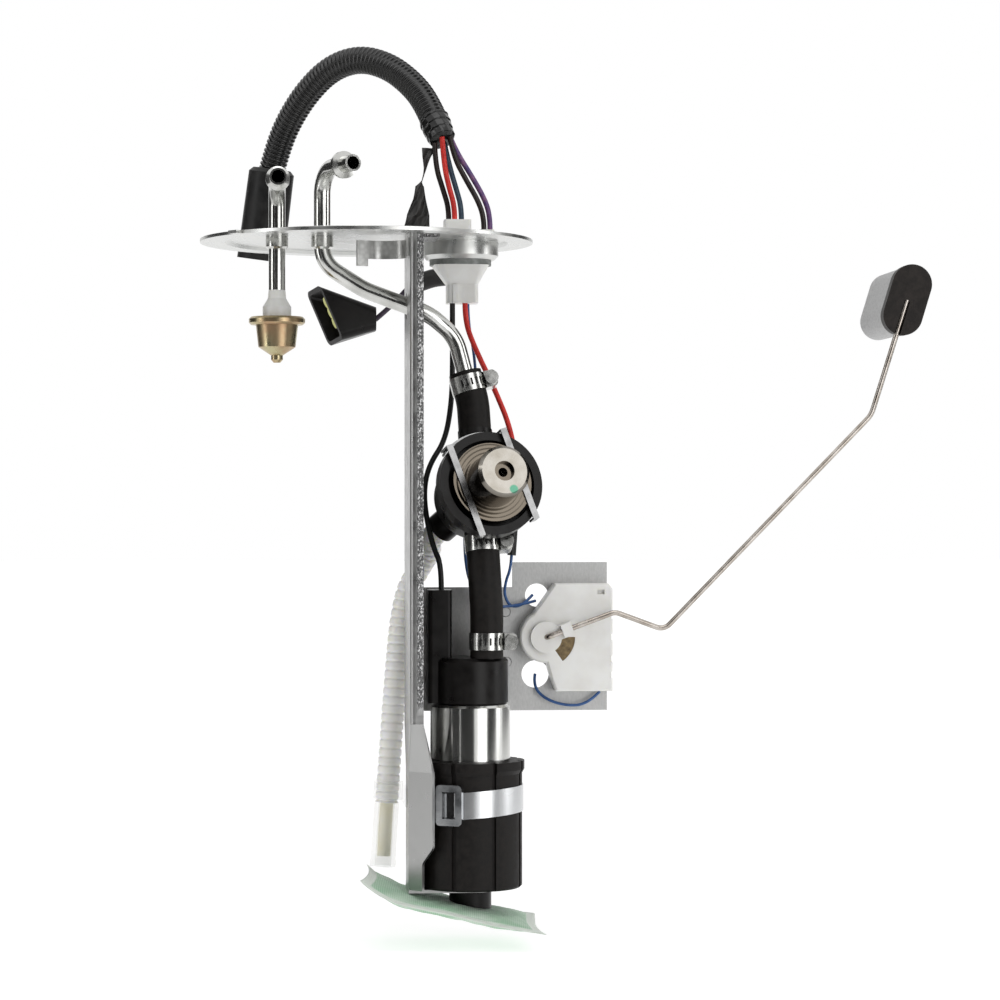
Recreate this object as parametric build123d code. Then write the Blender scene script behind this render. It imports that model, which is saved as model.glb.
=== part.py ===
from build123d import *
import os
from math import cos, radians, sin, tan

# A fuel pump module that hangs in a tank opening, in millimetres.
# The origin is the middle of the flange rim's underside. +Z is up and -Y is the front.

# Sheet steel, fits and hose sizes shared by several pieces
sheet = 1.5
seat_gap = 0.05
running = 0.05
tube_d = 7.94
tube_wall = 0.9
hose_d = 15.6
wire_d = 2.6

# Flange plate with a flat rim, a raised middle and a drawn pan for the connector
flange_d = 160.0
rim_w = 12.0
rim_step = 1.5
pan_x, pan_y = 46.0, 10.0
pan_d = 37.0
pan_depth = 8.5
pan_corner = 2.0
locator_w = 6.0
locator_reach = 3.0
locator_turn = 219.0

# Vapor tube and its valve
vapor_x, vapor_y = -43.4, -20.0
vapor_low = -24.0
vapor_top = 26.0
vapor_reach = 38.0
tube_bend = 12.0
bead_back = 10.5
vapor_bead_d = 11.4
collar_d = 10.6
collar_h = 6.0
neck_h = 12.7
neck_d = 13.5
neck_spigot = 6.0
crimp_d = 26.6
crimp_h = 3.8
cup_d = 20.0
cup_h = 10.5
cup_wall = 1.0
cup_tip_d = 5.6
poppet_d = 10.0
poppet_lift = 1.5

# Supply tube
supply_x, supply_y = -22.0, -20.0
supply_top = 33.3
supply_reach = 34.7
supply_turn = 22.9
supply_bead_d = 12.8
supply_knee_z = -10.9
supply_mid = (-2.0, -20.0, -23.6)
supply_far = (29.0, -20.0, -35.0)
supply_run = 18.0
supply_bends = (14.0, 40.0, 30.0, 18.0)
hose_top = (46.0, -20.0, -63.0)
hose_grip = 9.0
hose_lead = 14.0
hose_bend = 40.0
low_lead = 16.0
outlet_lead = 22.0
low_hose_bends = (30.0, 40.0)

# Hanger bracket
bracket_x = 18.0
bracket_front = -52.0
bracket_w = 50.0
channel_depth = 6.3
channel_bend = 2.5
channel_low = -228.0
foot_len = 14.4
foot_w = 28.0
cradle_w = 22.0
wing_len = 15.8
wing_turn = 49.5
wing_blend = 23.0
wing_foot = 8.9
notch_low, notch_high = 13.0, 20.5
notch_round = 3.0
cradle_foot = 39.0
cradle_foot_w = 26.0
cradle_foot_round = 6.0
pass_hole_d = 13.0
brace_t = 1.2
brace_h = 8.6
brace_z = -5.2
brace_line = [(-0.6, -48.0), (-0.6, -31.0), (-12.0, -26.0), (-24.0, -31.0)]
brace_bends = (8.0, 10.0)
ear_w = 5.6
ear_h = 4.0

# Terminal body through the pan
throat_d = 22.0
base_d = 32.0
base_h = 3.0
tower_w = 13.0
tower_y = 12.0
tower_top = 12.6
small_tower_x = 59.0
small_tower_w = 6.8
small_tower_top = 8.0
seal_d = 30.0
seal_h = 2.7
socket_top_w = 26.6
socket_w = 15.0
socket_shift = 0.8
socket_rib = 0.9
socket_taper_h = 9.3
socket_h = 18.3

# Pressure regulator and its housing
reg_front = (55.8, -54.0, -115.6)
reg_yaw = 11.0
reg_pitch = 14.0
reg_rim_d = 49.4
reg_rim_wall = 4.0
reg_rim_h = 8.0
reg_body_d = 39.0
reg_deep = 34.0
reg_floor = 6.0
reg_corner = 2.0
can_room = 0.4
mouth_step = 0.5
boss_sink = 4.0
port_back = 22.0
port_boss_d = 16.4
port_bore = 4.6
top_boss = 31.0
low_boss = 19.6
can_d = 33.8
can_flange_d = 37.6
can_flange_h = 3.0
can_proud = 2.0
nose_d = 24.4
nose_h = 21.0
nose_hole_d = 4.4
nose_recess_d = 9.4
can_foot_h = 8.0
valve_d = 14.0
stem_d = 4.0
clip_t = 1.0
clip_leg_w = 3.0
clip_hook = 6.0
clip_bow_w = 3.0
clip_turn = 17.0

# Hose clamps
clamp_w = 8.0
clamp_t = 0.6
clamp_box_w = 8.4
clamp_box_reach = 5.4
screw_d = 4.4
screw_head_d = 6.4
screw_head_h = 2.6
clamp_in_top = 6.0
clamp_in_low = 4.6
clamp_up = 8.0

# Fuel pump
pump_y = -27.0
pad_depth = 3.9
shell_d = 38.0
shell_wall = 1.2
shell_len = 84.7
shell_lip = 2.6
cap_top = -198.0
cap_less = 1.0
cap_h = 21.3
cap_deep = 8.7
column_w = 11.4
column_y = 17.0
column_h = 32.0
column_proud = 1.5
outlet_turn = -57.9
outlet_edge = 5.0
outlet_h = 16.0
outlet_bore = 4.8
check_d = 6.8
check_room_d = 8.0
check_room_h = 11.0
shaft_d = 5.0
commutator_d = 14.0
commutator_h = 6.0
magnet_t = 3.55
armature_len = 46.0
armature_slots = 8
magnet_gap = 0.7
chamber_t = 4.0
impeller_edge = 3.3
impeller_h = 3.5
impeller_vanes = 24
impeller_gap = 0.3
inlet_d = 12.0
inlet_port_d = 4.0
chamber_port_d = 5.0
vane_deep = 3.0
magnet_split = 10.0
armature_slot = 1.8
slot_depth = 5.0
brush_len, brush_w = 6.0, 5.0

# Isolator sleeve, strap and strainer
sleeve_wall = 5.55
sleeve_lip = 1.1
sleeve_lip_h = 6.0
sleeve_h = 60.0
sleeve_floor = 2.7
groove_w = 2.2
groove_deep = 1.3
groove_count = 8
strap_w = 12.5
strap_t = 0.6
strap_z = -266.0
strap_tilt = 4.0
buckle_w = 13.0
buckle_h = 19.0
buckle_t = 2.4
buckle_turn = 244.0
bag_len, bag_w, bag_h = 82.0, 64.0, 7.0
bag_hem = 4.0
bag_hem_t = 1.4
bag_corner = 12.0
bag_turn = -5.0
bag_tilt = 11.0
bag_back = 11.0
collar_room = 8.3
strainer_collar_d = 20.0

# Level sender
sender_right = 116.0
sender_top, sender_low = -153.5, -225.0
sender_step_x = 70.0
sender_step_z = -165.5
sender_t = 1.2
sender_hole = (81.8, -169.4)
sender_hole_d = 11.2
sender_low_hole = (81.1, -207.5)
sender_low_hole_d = 13.2
sender_side_hole = (62.6, -216.0)
sender_side_hole_d = 8.6
dimples = [(66.8, -177.5), (67.3, -201.6)]
dimple_d = 5.0
dimple_h = 0.8
rivet_d = 3.2
rivet_head_d = 4.6
pivot_x, pivot_z = 85.2, -189.2
housing_left, housing_right = 88.3, 117.5
housing_top, housing_low = -163.6, -215.2
housing_t = 11.3
boss_d = 24.8
case_chamfer = 0.8
case_neck = (6.0, 11.0)
case_heel = (2.0, 5.0)
case_nick = (2.0, 2.5)
case_in = 1.4
slot_w, slot_h = 3.6, 2.2
slot_deep = 2.0
tooth_w = 3.0
tooth_deep = 1.2
slot_in = 4.0
card_d = 28.0
card_t = 0.8
card_sweep = 55.0
rod_d = 2.6
rod_elbow = (118.1, -177.1)
rod_knee = (141.7, -185.8)
rod_shoulder = (242.5, -82.5)
rod_end = (260.1, -26.9)
rotor_d = 15.0
rotor_t = 2.3
rotor_gap = 0.3
rotor_arm_len, rotor_arm_w = 14.0, 7.0
grip_out = 10.5
grip_len, grip_w = 5.0, 6.4
grip_cover = 0.8
rod_bends = (3.2, 6.0, 6.0, 12.0)
float_len, float_w = 35.0, 19.3
float_cap_t = 6.4
float_body_len = 51.0
float_lean = 17.0

# Return line
return_d = 11.0
return_bore = 8.0
return_port_d = 15.0
return_port_reach = 27.0
return_back = 26.0
return_lead = 9.0
return_aim = (-0.60, 0.57, -0.56)
return_knees = [(30.9, 1.0, -148.0), (25.0, 10.0, -158.0), (18.0, 9.5, -172.0), (13.9, 8.0, -212.0)]
return_end = (10.1, 8.0, -270.0)
return_sleeve_d = 12.4
return_sleeve_len = 31.0
return_ring_d = 12.9
clip_z = -264.0
clip_h = 9.0
clip_strip_t = 1.4
clip_arm_back = 6.0

# Wiring routes, by their middle lines
red_route = [(48.0, 6.0), (48.0, 6.0, -37.0), (52.5, 2.0, -50.0), (61.0, -5.0, -69.0),
             (69.0, -12.0, -90.0), (71.5, -15.0, -112.0), (69.5, -17.0, -137.0)]
splice_d = 4.2
splice_len = 13.0
blue_route = [(66.0, -15.5, -162.0), (65.2, -13.5, -169.0), (68.6, -11.6, -175.0), (75.0, -9.4, -174.0)]
blue_d = 1.4
black_route = [(42.0, 8.0), (42.0, 8.0, -37.0), (41.5, 0.0, -56.0), (40.5, -9.0, -76.0), (37.0, -14.0, -95.0),
               (29.5, -17.0, -106.0), (26.5, -19.0, -117.0), (27.0, -22.0, -130.0), (30.5, -25.0, -146.0)]
long_blue_route = [(50.0, 13.0), (50.0, 13.0, -37.0), (53.0, 5.0, -56.0), (52.5, -6.0, -78.0),
                   (50.0, -10.0, -100.0), (47.4, -11.4, -124.0), (46.0, -12.0, -148.0),
                   (49.0, -14.0, -166.0), (60.0, -14.0, -175.0), (73.0, -12.0, -174.0)]
jumper_route = [(80.0, -6.5, -213.0), (85.0, -9.0, -219.0), (95.0, -10.0, -222.5), (106.0, -9.4, -222.0)]
jumper_in = 5.5
lead_drop = 12.0

# Outer harness, free from the towers to the vehicle plug
conduit_d = 13.5
conduit_route = [(33.5, 14.0, 61.5), (30.0, 21.0, 71.5), (23.0, 30.0, 82.0), (12.5, 39.5, 91.5),
                 (-1.0, 49.0, 96.5), (-15.0, 58.5, 93.0), (-27.0, 68.0, 82.0), (-36.5, 76.5, 67.5),
                 (-42.0, 83.0, 53.5), (-45.0, 87.2, 42.0)]
tape_d = 15.0
tape_len = 13.0
boot_d = 23.0
boot_low_d = 24.0
boot_low_at = (-50.2, 91.5, -1.0)
boot_top_at = (-44.4, 87.5, 45.0)
red_lead = [(43.0, 7.0), (43.0, 7.0, 19.0), (40.3, 6.5, 28.0), (37.8, 6.0, 39.0)]
dark_leads = [
    [(40.4, 11.0), (40.4, 11.0, 18.5), (37.8, 10.6, 27.0), (33.8, 9.6, 39.0)],
    [(46.6, 11.0), (46.6, 11.0, 19.0), (44.0, 10.6, 28.0), (40.6, 9.6, 39.0)],
    [(57.4, 8.6), (57.4, 8.6, 13.5), (54.8, 8.2, 21.5), (48.6, 7.6, 32.0), (42.6, 6.6, 43.0)],
    [(60.6, 11.4), (60.6, 11.4, 15.0), (57.8, 11.0, 23.5), (51.0, 10.2, 35.0), (44.4, 9.0, 45.0)],
]
lead_ends = [(-4.0, -0.6), (1.2, -3.0), (3.6, 1.6), (4.6, -1.4)]
red_end = (-0.4, 2.4)
plug_front = (-17.5, 90.0, -29.5)
plug_back = (8.6, 92.0, -31.0)
plug_front_w, plug_front_h = 22.0, 30.0
plug_back_w, plug_back_h = 17.0, 12.0
plug_corner = 4.0
plug_lean = 22.0
plug_yaw = 19.0
plug_wall = 2.2
plug_room = 0.6
plug_core = 0.25
plug_seal_t = 2.0
plug_fit = 0.5
pigtail_gap = 3.6
pigtail_route = [(-38.0, 91.0, 6.0), (-20.0, 92.0, 8.0), (4.0, 92.0, 9.0), (26.0, 92.0, 9.5),
                 (40.0, 92.0, 9.4), (50.7, 92.0, 9.1), (55.9, 92.0, 4.0), (55.9, 92.0, -3.4), (50.7, 92.0, -8.6),
                 (40.5, 92.0, -9.0), (27.0, 92.0, -12.5), (18.0, 92.0, -23.0)]

# Places worked out from the sizes above
tube_r = tube_d / 2
hose_bore = tube_r + seat_gap
under = rim_step
pan_floor = under - pan_depth
bracket_rear = bracket_front + bracket_w
shell_top = cap_top - cap_h
shell_low = shell_top - shell_len
shell_bore = shell_d / 2 - shell_wall
sleeve_d = shell_d + 2 * seat_gap + 2 * sleeve_wall
sleeve_lip_d = sleeve_d + 2 * sleeve_lip
pump_x = bracket_x + sheet + pad_depth + sleeve_d / 2
cap_d = shell_d - 2 * cap_less
column_out = shell_d / 2 + column_proud
outlet_x = pump_x + (cap_d / 2 - outlet_edge) * cos(radians(outlet_turn))
outlet_y = pump_y + (cap_d / 2 - outlet_edge) * sin(radians(outlet_turn))
armature_d = 2 * (shell_bore - seat_gap - magnet_t - magnet_gap)
impeller_d = 2 * (shell_bore - impeller_edge)
cap_low = shell_top - shell_wall - cap_deep
commutator_top = cap_low - 0.5
armature_top = commutator_top - commutator_h - 1.0
chamber_top = armature_top - armature_len - 3.0
impeller_top = chamber_top - chamber_t - impeller_gap
cover_top = impeller_top - impeller_h - impeller_gap
cover_low = shell_low + shell_wall
sleeve_low = shell_low - sleeve_floor
inlet_low = sleeve_low - collar_room + 1.5
wing_top = channel_low - wing_blend
sender_y = bracket_rear - sheet
sender_left = bracket_x + channel_bend + 0.3
sender_front = sender_y - sender_t
housing_front = sender_front - housing_t
rotor_back = housing_front - rotor_gap
rotor_front = rotor_back - rotor_t
rod_y = rotor_front - rod_d / 2 - 0.1
seal_low = pan_floor - seal_h
socket_low = seal_low - socket_h
reg_axis = (sin(radians(reg_yaw)) * cos(radians(reg_pitch)),
            -cos(radians(reg_yaw)) * cos(radians(reg_pitch)),
            sin(radians(reg_pitch)))
reg = Plane(reg_front, x_dir=(cos(radians(reg_yaw)), sin(radians(reg_yaw)), 0), z_dir=reg_axis)
port_top = reg.from_local_coords(Vector(0, top_boss, -port_back))
port_low = reg.from_local_coords(Vector(0, -low_boss, -port_back))
hose_middle = port_top + reg.y_dir * hose_lead
hose_turn = (hose_middle - Vector(*hose_top)).normalized()
low_knee = port_low - reg.y_dir * low_lead
return_start = reg.from_local_coords(Vector(0, 0, -return_back))
return_axis = Vector(*return_aim).normalized()
return_mouth = return_start + return_axis * return_port_reach


def turned(*outline):
    """A round piece about Z from its half outline of (radius, height) points."""
    return revolve(Plane.XZ * make_face(Polyline(*outline, close=True)), Axis.Z)


def ring(outer, inner, low, high):
    """A plain ring about Z, between two heights, by its outer and inner diameters."""
    return Pos(0, 0, low) * extrude(Circle(outer / 2) - Circle(inner / 2), high - low)


def disc(diameter, low, high):
    """A plain cylinder about Z, between two heights."""
    return Pos(0, 0, low) * extrude(Circle(diameter / 2), high - low)


def block(x0, x1, y0, y1, z0, z1):
    """A box between two corners."""
    return Pos((x0 + x1) / 2, (y0 + y1) / 2, (z0 + z1) / 2) * Box(x1 - x0, y1 - y0, z1 - z0)


def facing(y):
    """An upright plane at a depth, drawn in X and Z, that grows towards the front."""
    return Plane((0, y, 0), x_dir=(1, 0, 0), z_dir=(0, -1, 0))


def along(start, direction, across=(1, 0, 0)):
    """A plane at a point with its normal along a direction."""
    normal = Vector(*direction).normalized()
    side = Vector(*across)
    return Plane(start, x_dir=side - normal * side.dot(normal), z_dir=normal)


def even_bends(points):
    """The bend at each corner of a route: as large as 0.45 of the shorter run beside it allows."""
    radii = []
    for before, corner, after in zip(points, points[1:], points[2:]):
        arriving = Vector(*corner) - Vector(*before)
        leaving = Vector(*after) - Vector(*corner)
        half_turn = radians(arriving.get_angle(leaving)) / 2
        radii.append(0.45 * min(arriving.length, leaving.length) / tan(half_turn))
    return radii


def pipe(points, radii, outer, inner=0.0):
    """A round bar or tube along straight runs joined by tangent bends."""
    path = FilletPolyline(*points, radius=radii)
    section = Circle(outer / 2)
    if inner:
        section -= Circle(inner / 2)
    return sweep(Plane(path @ 0, z_dir=path % 0) * section, path=path)


def cord(name, points, diameter):
    """A wire or hose along its route, with its bend radii reported."""
    radii = even_bends(points)
    print(name, "bends", [round(r, 1) for r in radii])
    return pipe(points, radii, diameter)


def coil_spring(diameter, wire, low, high, turns):
    """A helical spring about Z between two heights."""
    height = high - low - wire
    path = Helix(height / turns, height, (diameter - wire) / 2)
    return Pos(0, 0, low + wire / 2) * sweep(Plane(path @ 0, z_dir=path % 0) * Circle(wire / 2), path=path)


# Flange group

def flange_plate():
    inner = flange_d / 2 - rim_w
    plate = turned((0, under), (inner - rim_step, under), (inner, 0), (flange_d / 2, 0),
                   (flange_d / 2, sheet), (inner, sheet), (inner - rim_step, under + sheet), (0, under + sheet))
    wall = pan_d / 2
    pan = turned((throat_d / 2 + seat_gap, pan_floor), (wall - pan_corner, pan_floor),
                 (wall, pan_floor + pan_corner), (wall, under + sheet), (wall - sheet, under + sheet),
                 (wall - sheet, pan_floor + sheet), (throat_d / 2 + seat_gap, pan_floor + sheet))
    at_pan = Pos(pan_x, pan_y, 0)
    plate = plate - at_pan * disc(pan_d - sheet, under - 1, under + sheet + 1) + at_pan * pan
    for x, y in ((vapor_x, vapor_y), (supply_x, supply_y)):
        plate -= Pos(x, y, 0) * disc(tube_d + 2 * seat_gap, under - 1, under + sheet + 1)
    locator = block(flange_d / 2 - 1, flange_d / 2 + locator_reach, -locator_w / 2, locator_w / 2, 0, sheet)
    return plate + Rot(0, 0, locator_turn) * locator


def tube_bead(diameter):
    """The rounded bead that holds a push-on line, about the tube's axis."""
    foot = tube_r - tube_wall / 2
    return turned((foot, -2), (diameter / 2, -0.9), (diameter / 2, 0.9), (foot, 2))


def brazed_collar():
    """The collar under the plate that a tube is brazed into."""
    foot = tube_r - tube_wall / 2
    return turned((foot, under), (collar_d / 2, under), (collar_d / 2, under - collar_h + 1),
                  (collar_d / 2 - 1, under - collar_h), (foot, under - collar_h))


def vapor_tube():
    mouth = (vapor_x, vapor_y - vapor_reach, vapor_top)
    points = [(vapor_x, vapor_y, vapor_low), (vapor_x, vapor_y, vapor_top), mouth]
    tube = pipe(points, [tube_bend], tube_d, tube_d - 2 * tube_wall)
    tube += along(mouth, (0, -1, 0)) * Pos(0, 0, -bead_back) * tube_bead(vapor_bead_d)
    return tube + Pos(vapor_x, vapor_y, 0) * brazed_collar()


def supply_tube():
    aim = Vector(sin(radians(supply_turn)), -cos(radians(supply_turn)), 0)
    corner = Vector(supply_x, supply_y, supply_top)
    mouth = corner + aim * supply_reach
    entry = Vector(*hose_top)
    points = [mouth, corner, (supply_x, supply_y, supply_knee_z), supply_mid, supply_far,
              entry - hose_turn * supply_run, entry + hose_turn * hose_grip]
    tube = pipe(points, [tube_bend, *supply_bends], tube_d, tube_d - 2 * tube_wall)
    tube += along(mouth, aim) * Pos(0, 0, -bead_back) * tube_bead(supply_bead_d)
    return tube + Pos(supply_x, supply_y, 0) * brazed_collar()


def passthrough_connector():
    floor_top = pan_floor + sheet
    body = Pos(pan_x, pan_y, 0) * disc(base_d, floor_top, floor_top + base_h)
    body += Pos(pan_x, pan_y, 0) * disc(throat_d, seal_low, floor_top)
    top = floor_top + base_h
    tower_x = pan_x - 1.5
    tower = block(tower_x - tower_w / 2, tower_x + tower_w / 2, pan_y - tower_y / 2, pan_y + tower_y / 2,
                  top, tower_top)
    small = block(small_tower_x - small_tower_w / 2, small_tower_x + small_tower_w / 2,
                  pan_y - tower_y / 4, pan_y + tower_y / 4, top, small_tower_top)
    corners = tower.edges().filter_by(Axis.Z)
    return body + fillet(corners, 1.5) + fillet(small.edges().filter_by(Axis.Z), 1.2)


def passthrough_seal():
    return Pos(pan_x, pan_y, 0) * ring(seal_d, throat_d + 2 * seat_gap, seal_low, pan_floor)


def passthrough_socket():
    waist = seal_low - socket_taper_h
    lower = RectangleRounded(socket_w, socket_w, 2)
    taper = loft([Pos(0, 0, seal_low) * RectangleRounded(socket_top_w, socket_top_w, 5),
                  Pos(socket_shift, 0, waist) * lower])
    body = Pos(socket_shift, 0, socket_low) * extrude(lower, socket_h - socket_taper_h)
    rib_x = socket_shift - socket_w / 4
    rib = block(rib_x - 1.2, rib_x + 1.2, -socket_w / 2 - socket_rib, -socket_w / 2 + 1, socket_low, waist)
    return Pos(pan_x, pan_y, 0) * (taper + body + rib)


# Hanger bracket

def channel_section():
    outer = Pos(channel_depth / 2, 0) * Rectangle(channel_depth, bracket_w)
    outer = fillet(outer.vertices().group_by(Axis.X)[0], channel_bend)
    inner = Pos(sheet + channel_depth / 2, 0) * Rectangle(channel_depth, bracket_w - 2 * sheet)
    inner = fillet(inner.vertices().group_by(Axis.X)[0], channel_bend - sheet)
    return Pos(bracket_x, bracket_front + bracket_w / 2) * (outer - inner)


def cradle_wing():
    """One slanted side of the cradle, drawn outward from its bend, with the rounded step near its foot."""
    outline = Polyline((0, 0), (wing_foot, 0), (wing_foot, notch_low), (wing_len, notch_high),
                       (wing_len, wing_top - sleeve_low), (0, wing_top - sleeve_low), close=True)
    face = make_face(outline)
    step = [v for v in face.vertices() if v.Y > notch_low - 1 and v.Y < notch_high + 1]
    face = fillet(step, notch_round)
    return Plane((0, sheet / 2, sleeve_low), x_dir=(1, 0, 0), z_dir=(0, -1, 0)) * extrude(face, sheet)


def wing_blend_sheet(edge, bend, turn):
    """The formed sheet between a flange of the channel and the wing under it."""
    flange_len = channel_depth - sheet / 2
    bend_x = bracket_x + sheet / 2
    upper = Pos(bend_x + flange_len / 2, edge, channel_low) * Rectangle(flange_len, sheet)
    outward = Rot(0, 0, turn) * Pos(wing_len / 2, 0, 0)
    lower = Pos(bend_x, bend, wing_top) * outward * Rectangle(wing_len, sheet)
    return loft([upper, lower])


def hanger_bracket():
    middle = bracket_front + bracket_w / 2
    bracket = Pos(0, 0, channel_low) * extrude(channel_section(), under - channel_low)
    bracket += block(bracket_x + sheet, bracket_x + foot_len, middle - foot_w / 2, middle + foot_w / 2,
                     under - sheet, under)
    taper = Polyline((bracket_front + sheet / 2, channel_low), (bracket_rear - sheet / 2, channel_low),
                     (middle + cradle_w / 2, wing_top), (middle - cradle_w / 2, wing_top), close=True)
    side = Plane((bracket_x, 0, 0), x_dir=(0, 1, 0), z_dir=(1, 0, 0))
    bracket += side * extrude(make_face(taper), sheet)
    bracket += block(bracket_x, bracket_x + sheet, middle - cradle_w / 2, middle + cradle_w / 2,
                     sleeve_low - sheet, wing_top)
    bend_x = bracket_x + sheet / 2
    for edge, bend, turn in ((bracket_front + sheet / 2, middle - cradle_w / 2, -wing_turn),
                             (bracket_rear - sheet / 2, middle + cradle_w / 2, wing_turn)):
        wing = Rot(0, 0, turn) * cradle_wing() + disc(sheet, sleeve_low, wing_top)
        bracket += Pos(bend_x, bend, 0) * wing
        bracket += wing_blend_sheet(edge, bend, turn)
    foot = block(bracket_x, bracket_x + cradle_foot, middle - cradle_foot_w / 2, middle + cradle_foot_w / 2,
                 sleeve_low - sheet, sleeve_low)
    foot = fillet(foot.edges().filter_by(Axis.Z).group_by(Axis.X)[-1], cradle_foot_round)
    fork = Pos(pump_x, pump_y, 0) * disc(strainer_collar_d + 2, sleeve_low - sheet - 1, sleeve_low + 1)
    bracket += foot - fork
    slope = (supply_far[2] - supply_mid[2]) / (supply_far[0] - supply_mid[0])
    hole_z = supply_mid[2] + slope * (bend_x - supply_mid[0])
    pass_plane = Plane((bracket_x - 1, supply_y, hole_z), z_dir=(1, 0, 0))
    hole = pass_plane * extrude(Circle(pass_hole_d / 2), sheet + 2)
    return bracket - hole - rivet_holes(rivet_d)


def hanger_brace():
    path = FilletPolyline(*[(bracket_x + x, y, brace_z) for x, y in brace_line], radius=[*brace_bends])
    strip = sweep(Plane(path @ 0, x_dir=(1, 0, 0), z_dir=path % 0) * Rectangle(brace_t, brace_h), path=path)
    end, aim = path @ 1, path % 1
    ear = along(end - aim * ear_w / 2, aim, (0, 0, 1)) * Pos(-brace_h / 2 - ear_h / 2 + 0.5, 0, 0)
    return strip + ear * Box(ear_h, brace_t, ear_w)


# Vapor valve

def at_vapor(piece):
    return Pos(vapor_x, vapor_y, 0) * piece


def vapor_valve_neck():
    bore = tube_r - tube_wall - seat_gap
    low = vapor_low - neck_h
    return at_vapor(turned((1.4, vapor_low + neck_spigot), (bore, vapor_low + neck_spigot), (bore, vapor_low),
                           (tube_r, vapor_low), (tube_r + 0.4, vapor_low - 4), (neck_d / 2, vapor_low - 8),
                           (neck_d / 2, low), (1.4, low)))


def vapor_valve_crimp():
    top = vapor_low - neck_h
    edge = crimp_d / 2
    return at_vapor(turned((3.2, top), (edge - 1, top), (edge, top - 1), (edge, top - crimp_h + 1),
                           (edge - 1, top - crimp_h), (cup_d / 2 - cup_wall, top - crimp_h),
                           (cup_d / 2 - cup_wall, top - 1.2), (3.2, top - 1.2)))


def vapor_valve_cup():
    top = vapor_low - neck_h - crimp_h
    low = top - cup_h
    wide = cup_d / 2
    foot = wide - 1.2
    tip = cup_tip_d / 2
    return at_vapor(turned((wide, top), (foot, low), (tip, low - 4), (tip, low - 6), (tip - 1.2, low - 7.4),
                           (0, low - 7.4), (0, low + cup_wall), (foot - cup_wall - 1, low + cup_wall),
                           (wide - cup_wall, top)))


def poppet_place():
    """The heights of the poppet's top and of the spring's seat under it."""
    top = vapor_low - neck_h - 1.2 - poppet_lift - 0.3
    return top, top - 4


def vapor_valve_poppet():
    top, low = poppet_place()
    return at_vapor(turned((0, top + 1.2), (2.0, top), (poppet_d / 2, top), (poppet_d / 2, low), (2.4, low),
                           (2.4, low - 3), (0, low - 3)))


def vapor_valve_spring():
    seat = vapor_low - neck_h - crimp_h - cup_h + cup_wall + 0.1
    return at_vapor(coil_spring(poppet_d - 1.5, 0.8, seat, poppet_place()[1] - 0.2, 4))


# Hoses, clamps and regulator

def upper_hose():
    return pipe([port_top, hose_middle, Vector(*hose_top)], [hose_bend], hose_d, 2 * hose_bore)


def outlet_top():
    return Vector(outlet_x, outlet_y, cap_top)


def lower_hose():
    points = [port_low, low_knee, outlet_top() + Vector(0, 0, outlet_lead), outlet_top()]
    return pipe(points, [*low_hose_bends], hose_d, 2 * hose_bore)


def clamp_places():
    """The clamp planes: on the upper hose, under the housing and above the pump."""
    return [along(Vector(*hose_top) + hose_turn * clamp_in_top, hose_turn * -1),
            along(port_low - reg.y_dir * clamp_in_low, reg.y_dir),
            along(outlet_top() + Vector(0, 0, clamp_up), (0, 0, 1))]


def clamp_band():
    bore = hose_d + 2 * seat_gap
    edge = bore / 2 + clamp_t
    band = ring(2 * edge, bore, -clamp_w / 2, clamp_w / 2)
    half = clamp_box_w / 2
    box = block(edge - 0.4, edge + clamp_box_reach, -half, half, -clamp_w / 2, clamp_w / 2)
    box = fillet(box.edges().filter_by(Axis.Y).group_by(Axis.X)[-1], 2)
    screw_x = edge + clamp_box_reach / 2
    hole = Plane((screw_x, 0, 0), z_dir=(0, 1, 0)) * Cylinder(screw_d / 2 + seat_gap, clamp_box_w + 2)
    return band + (box - hole)


def clamp_screw():
    screw_x = hose_d / 2 + seat_gap + clamp_t + clamp_box_reach / 2
    half = clamp_box_w / 2
    head = turned((0, half), (screw_head_d / 2, half), (screw_head_d / 2, half + screw_head_h),
                  (0, half + screw_head_h))
    shank = disc(screw_d, -half - 1, half)
    return Plane((screw_x, 0, 0), z_dir=(0, -1, 0)) * (head + shank)


def hose_clamps():
    return [place * clamp_band() for place in clamp_places()]


def clamp_screws():
    return [place * clamp_screw() for place in clamp_places()]


def regulator_housing():
    rim, body = reg_rim_d / 2, reg_body_d / 2
    room = can_d / 2 + can_room
    mouth = rim - reg_rim_wall
    deep = -reg_deep
    shelf = -reg_rim_h - mouth_step
    cup = turned((0, deep), (body - reg_corner, deep), (body, deep + reg_corner),
                 (body, -reg_rim_h - reg_corner), (rim, -reg_rim_h), (rim, 0), (mouth, 0), (mouth, shelf),
                 (room, shelf), (room, deep + reg_floor), (0, deep + reg_floor))
    up = Plane((0, 0, -port_back), x_dir=(1, 0, 0), z_dir=(0, 1, 0))
    down = Plane((0, 0, -port_back), x_dir=(1, 0, 0), z_dir=(0, -1, 0))
    start = body - boss_sink
    for side, reach in ((up, top_boss), (down, low_boss)):
        nipple = disc(tube_d, reach - 1, reach + hose_grip - mouth_step)
        cup += side * (disc(port_boss_d, start, reach) + nipple)
    shape = reg * cup
    back = along(return_start, return_axis)
    shape += back * disc(return_port_d, start, return_port_reach)
    shape -= reg * disc(2 * room, deep + reg_floor, -reg_rim_h)
    for side, reach in ((up, top_boss), (down, low_boss)):
        shape -= reg * (side * disc(port_bore, start - boss_sink, reach + hose_grip))
    return shape - back * disc(port_bore, start - boss_sink, return_port_reach + 1)


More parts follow.
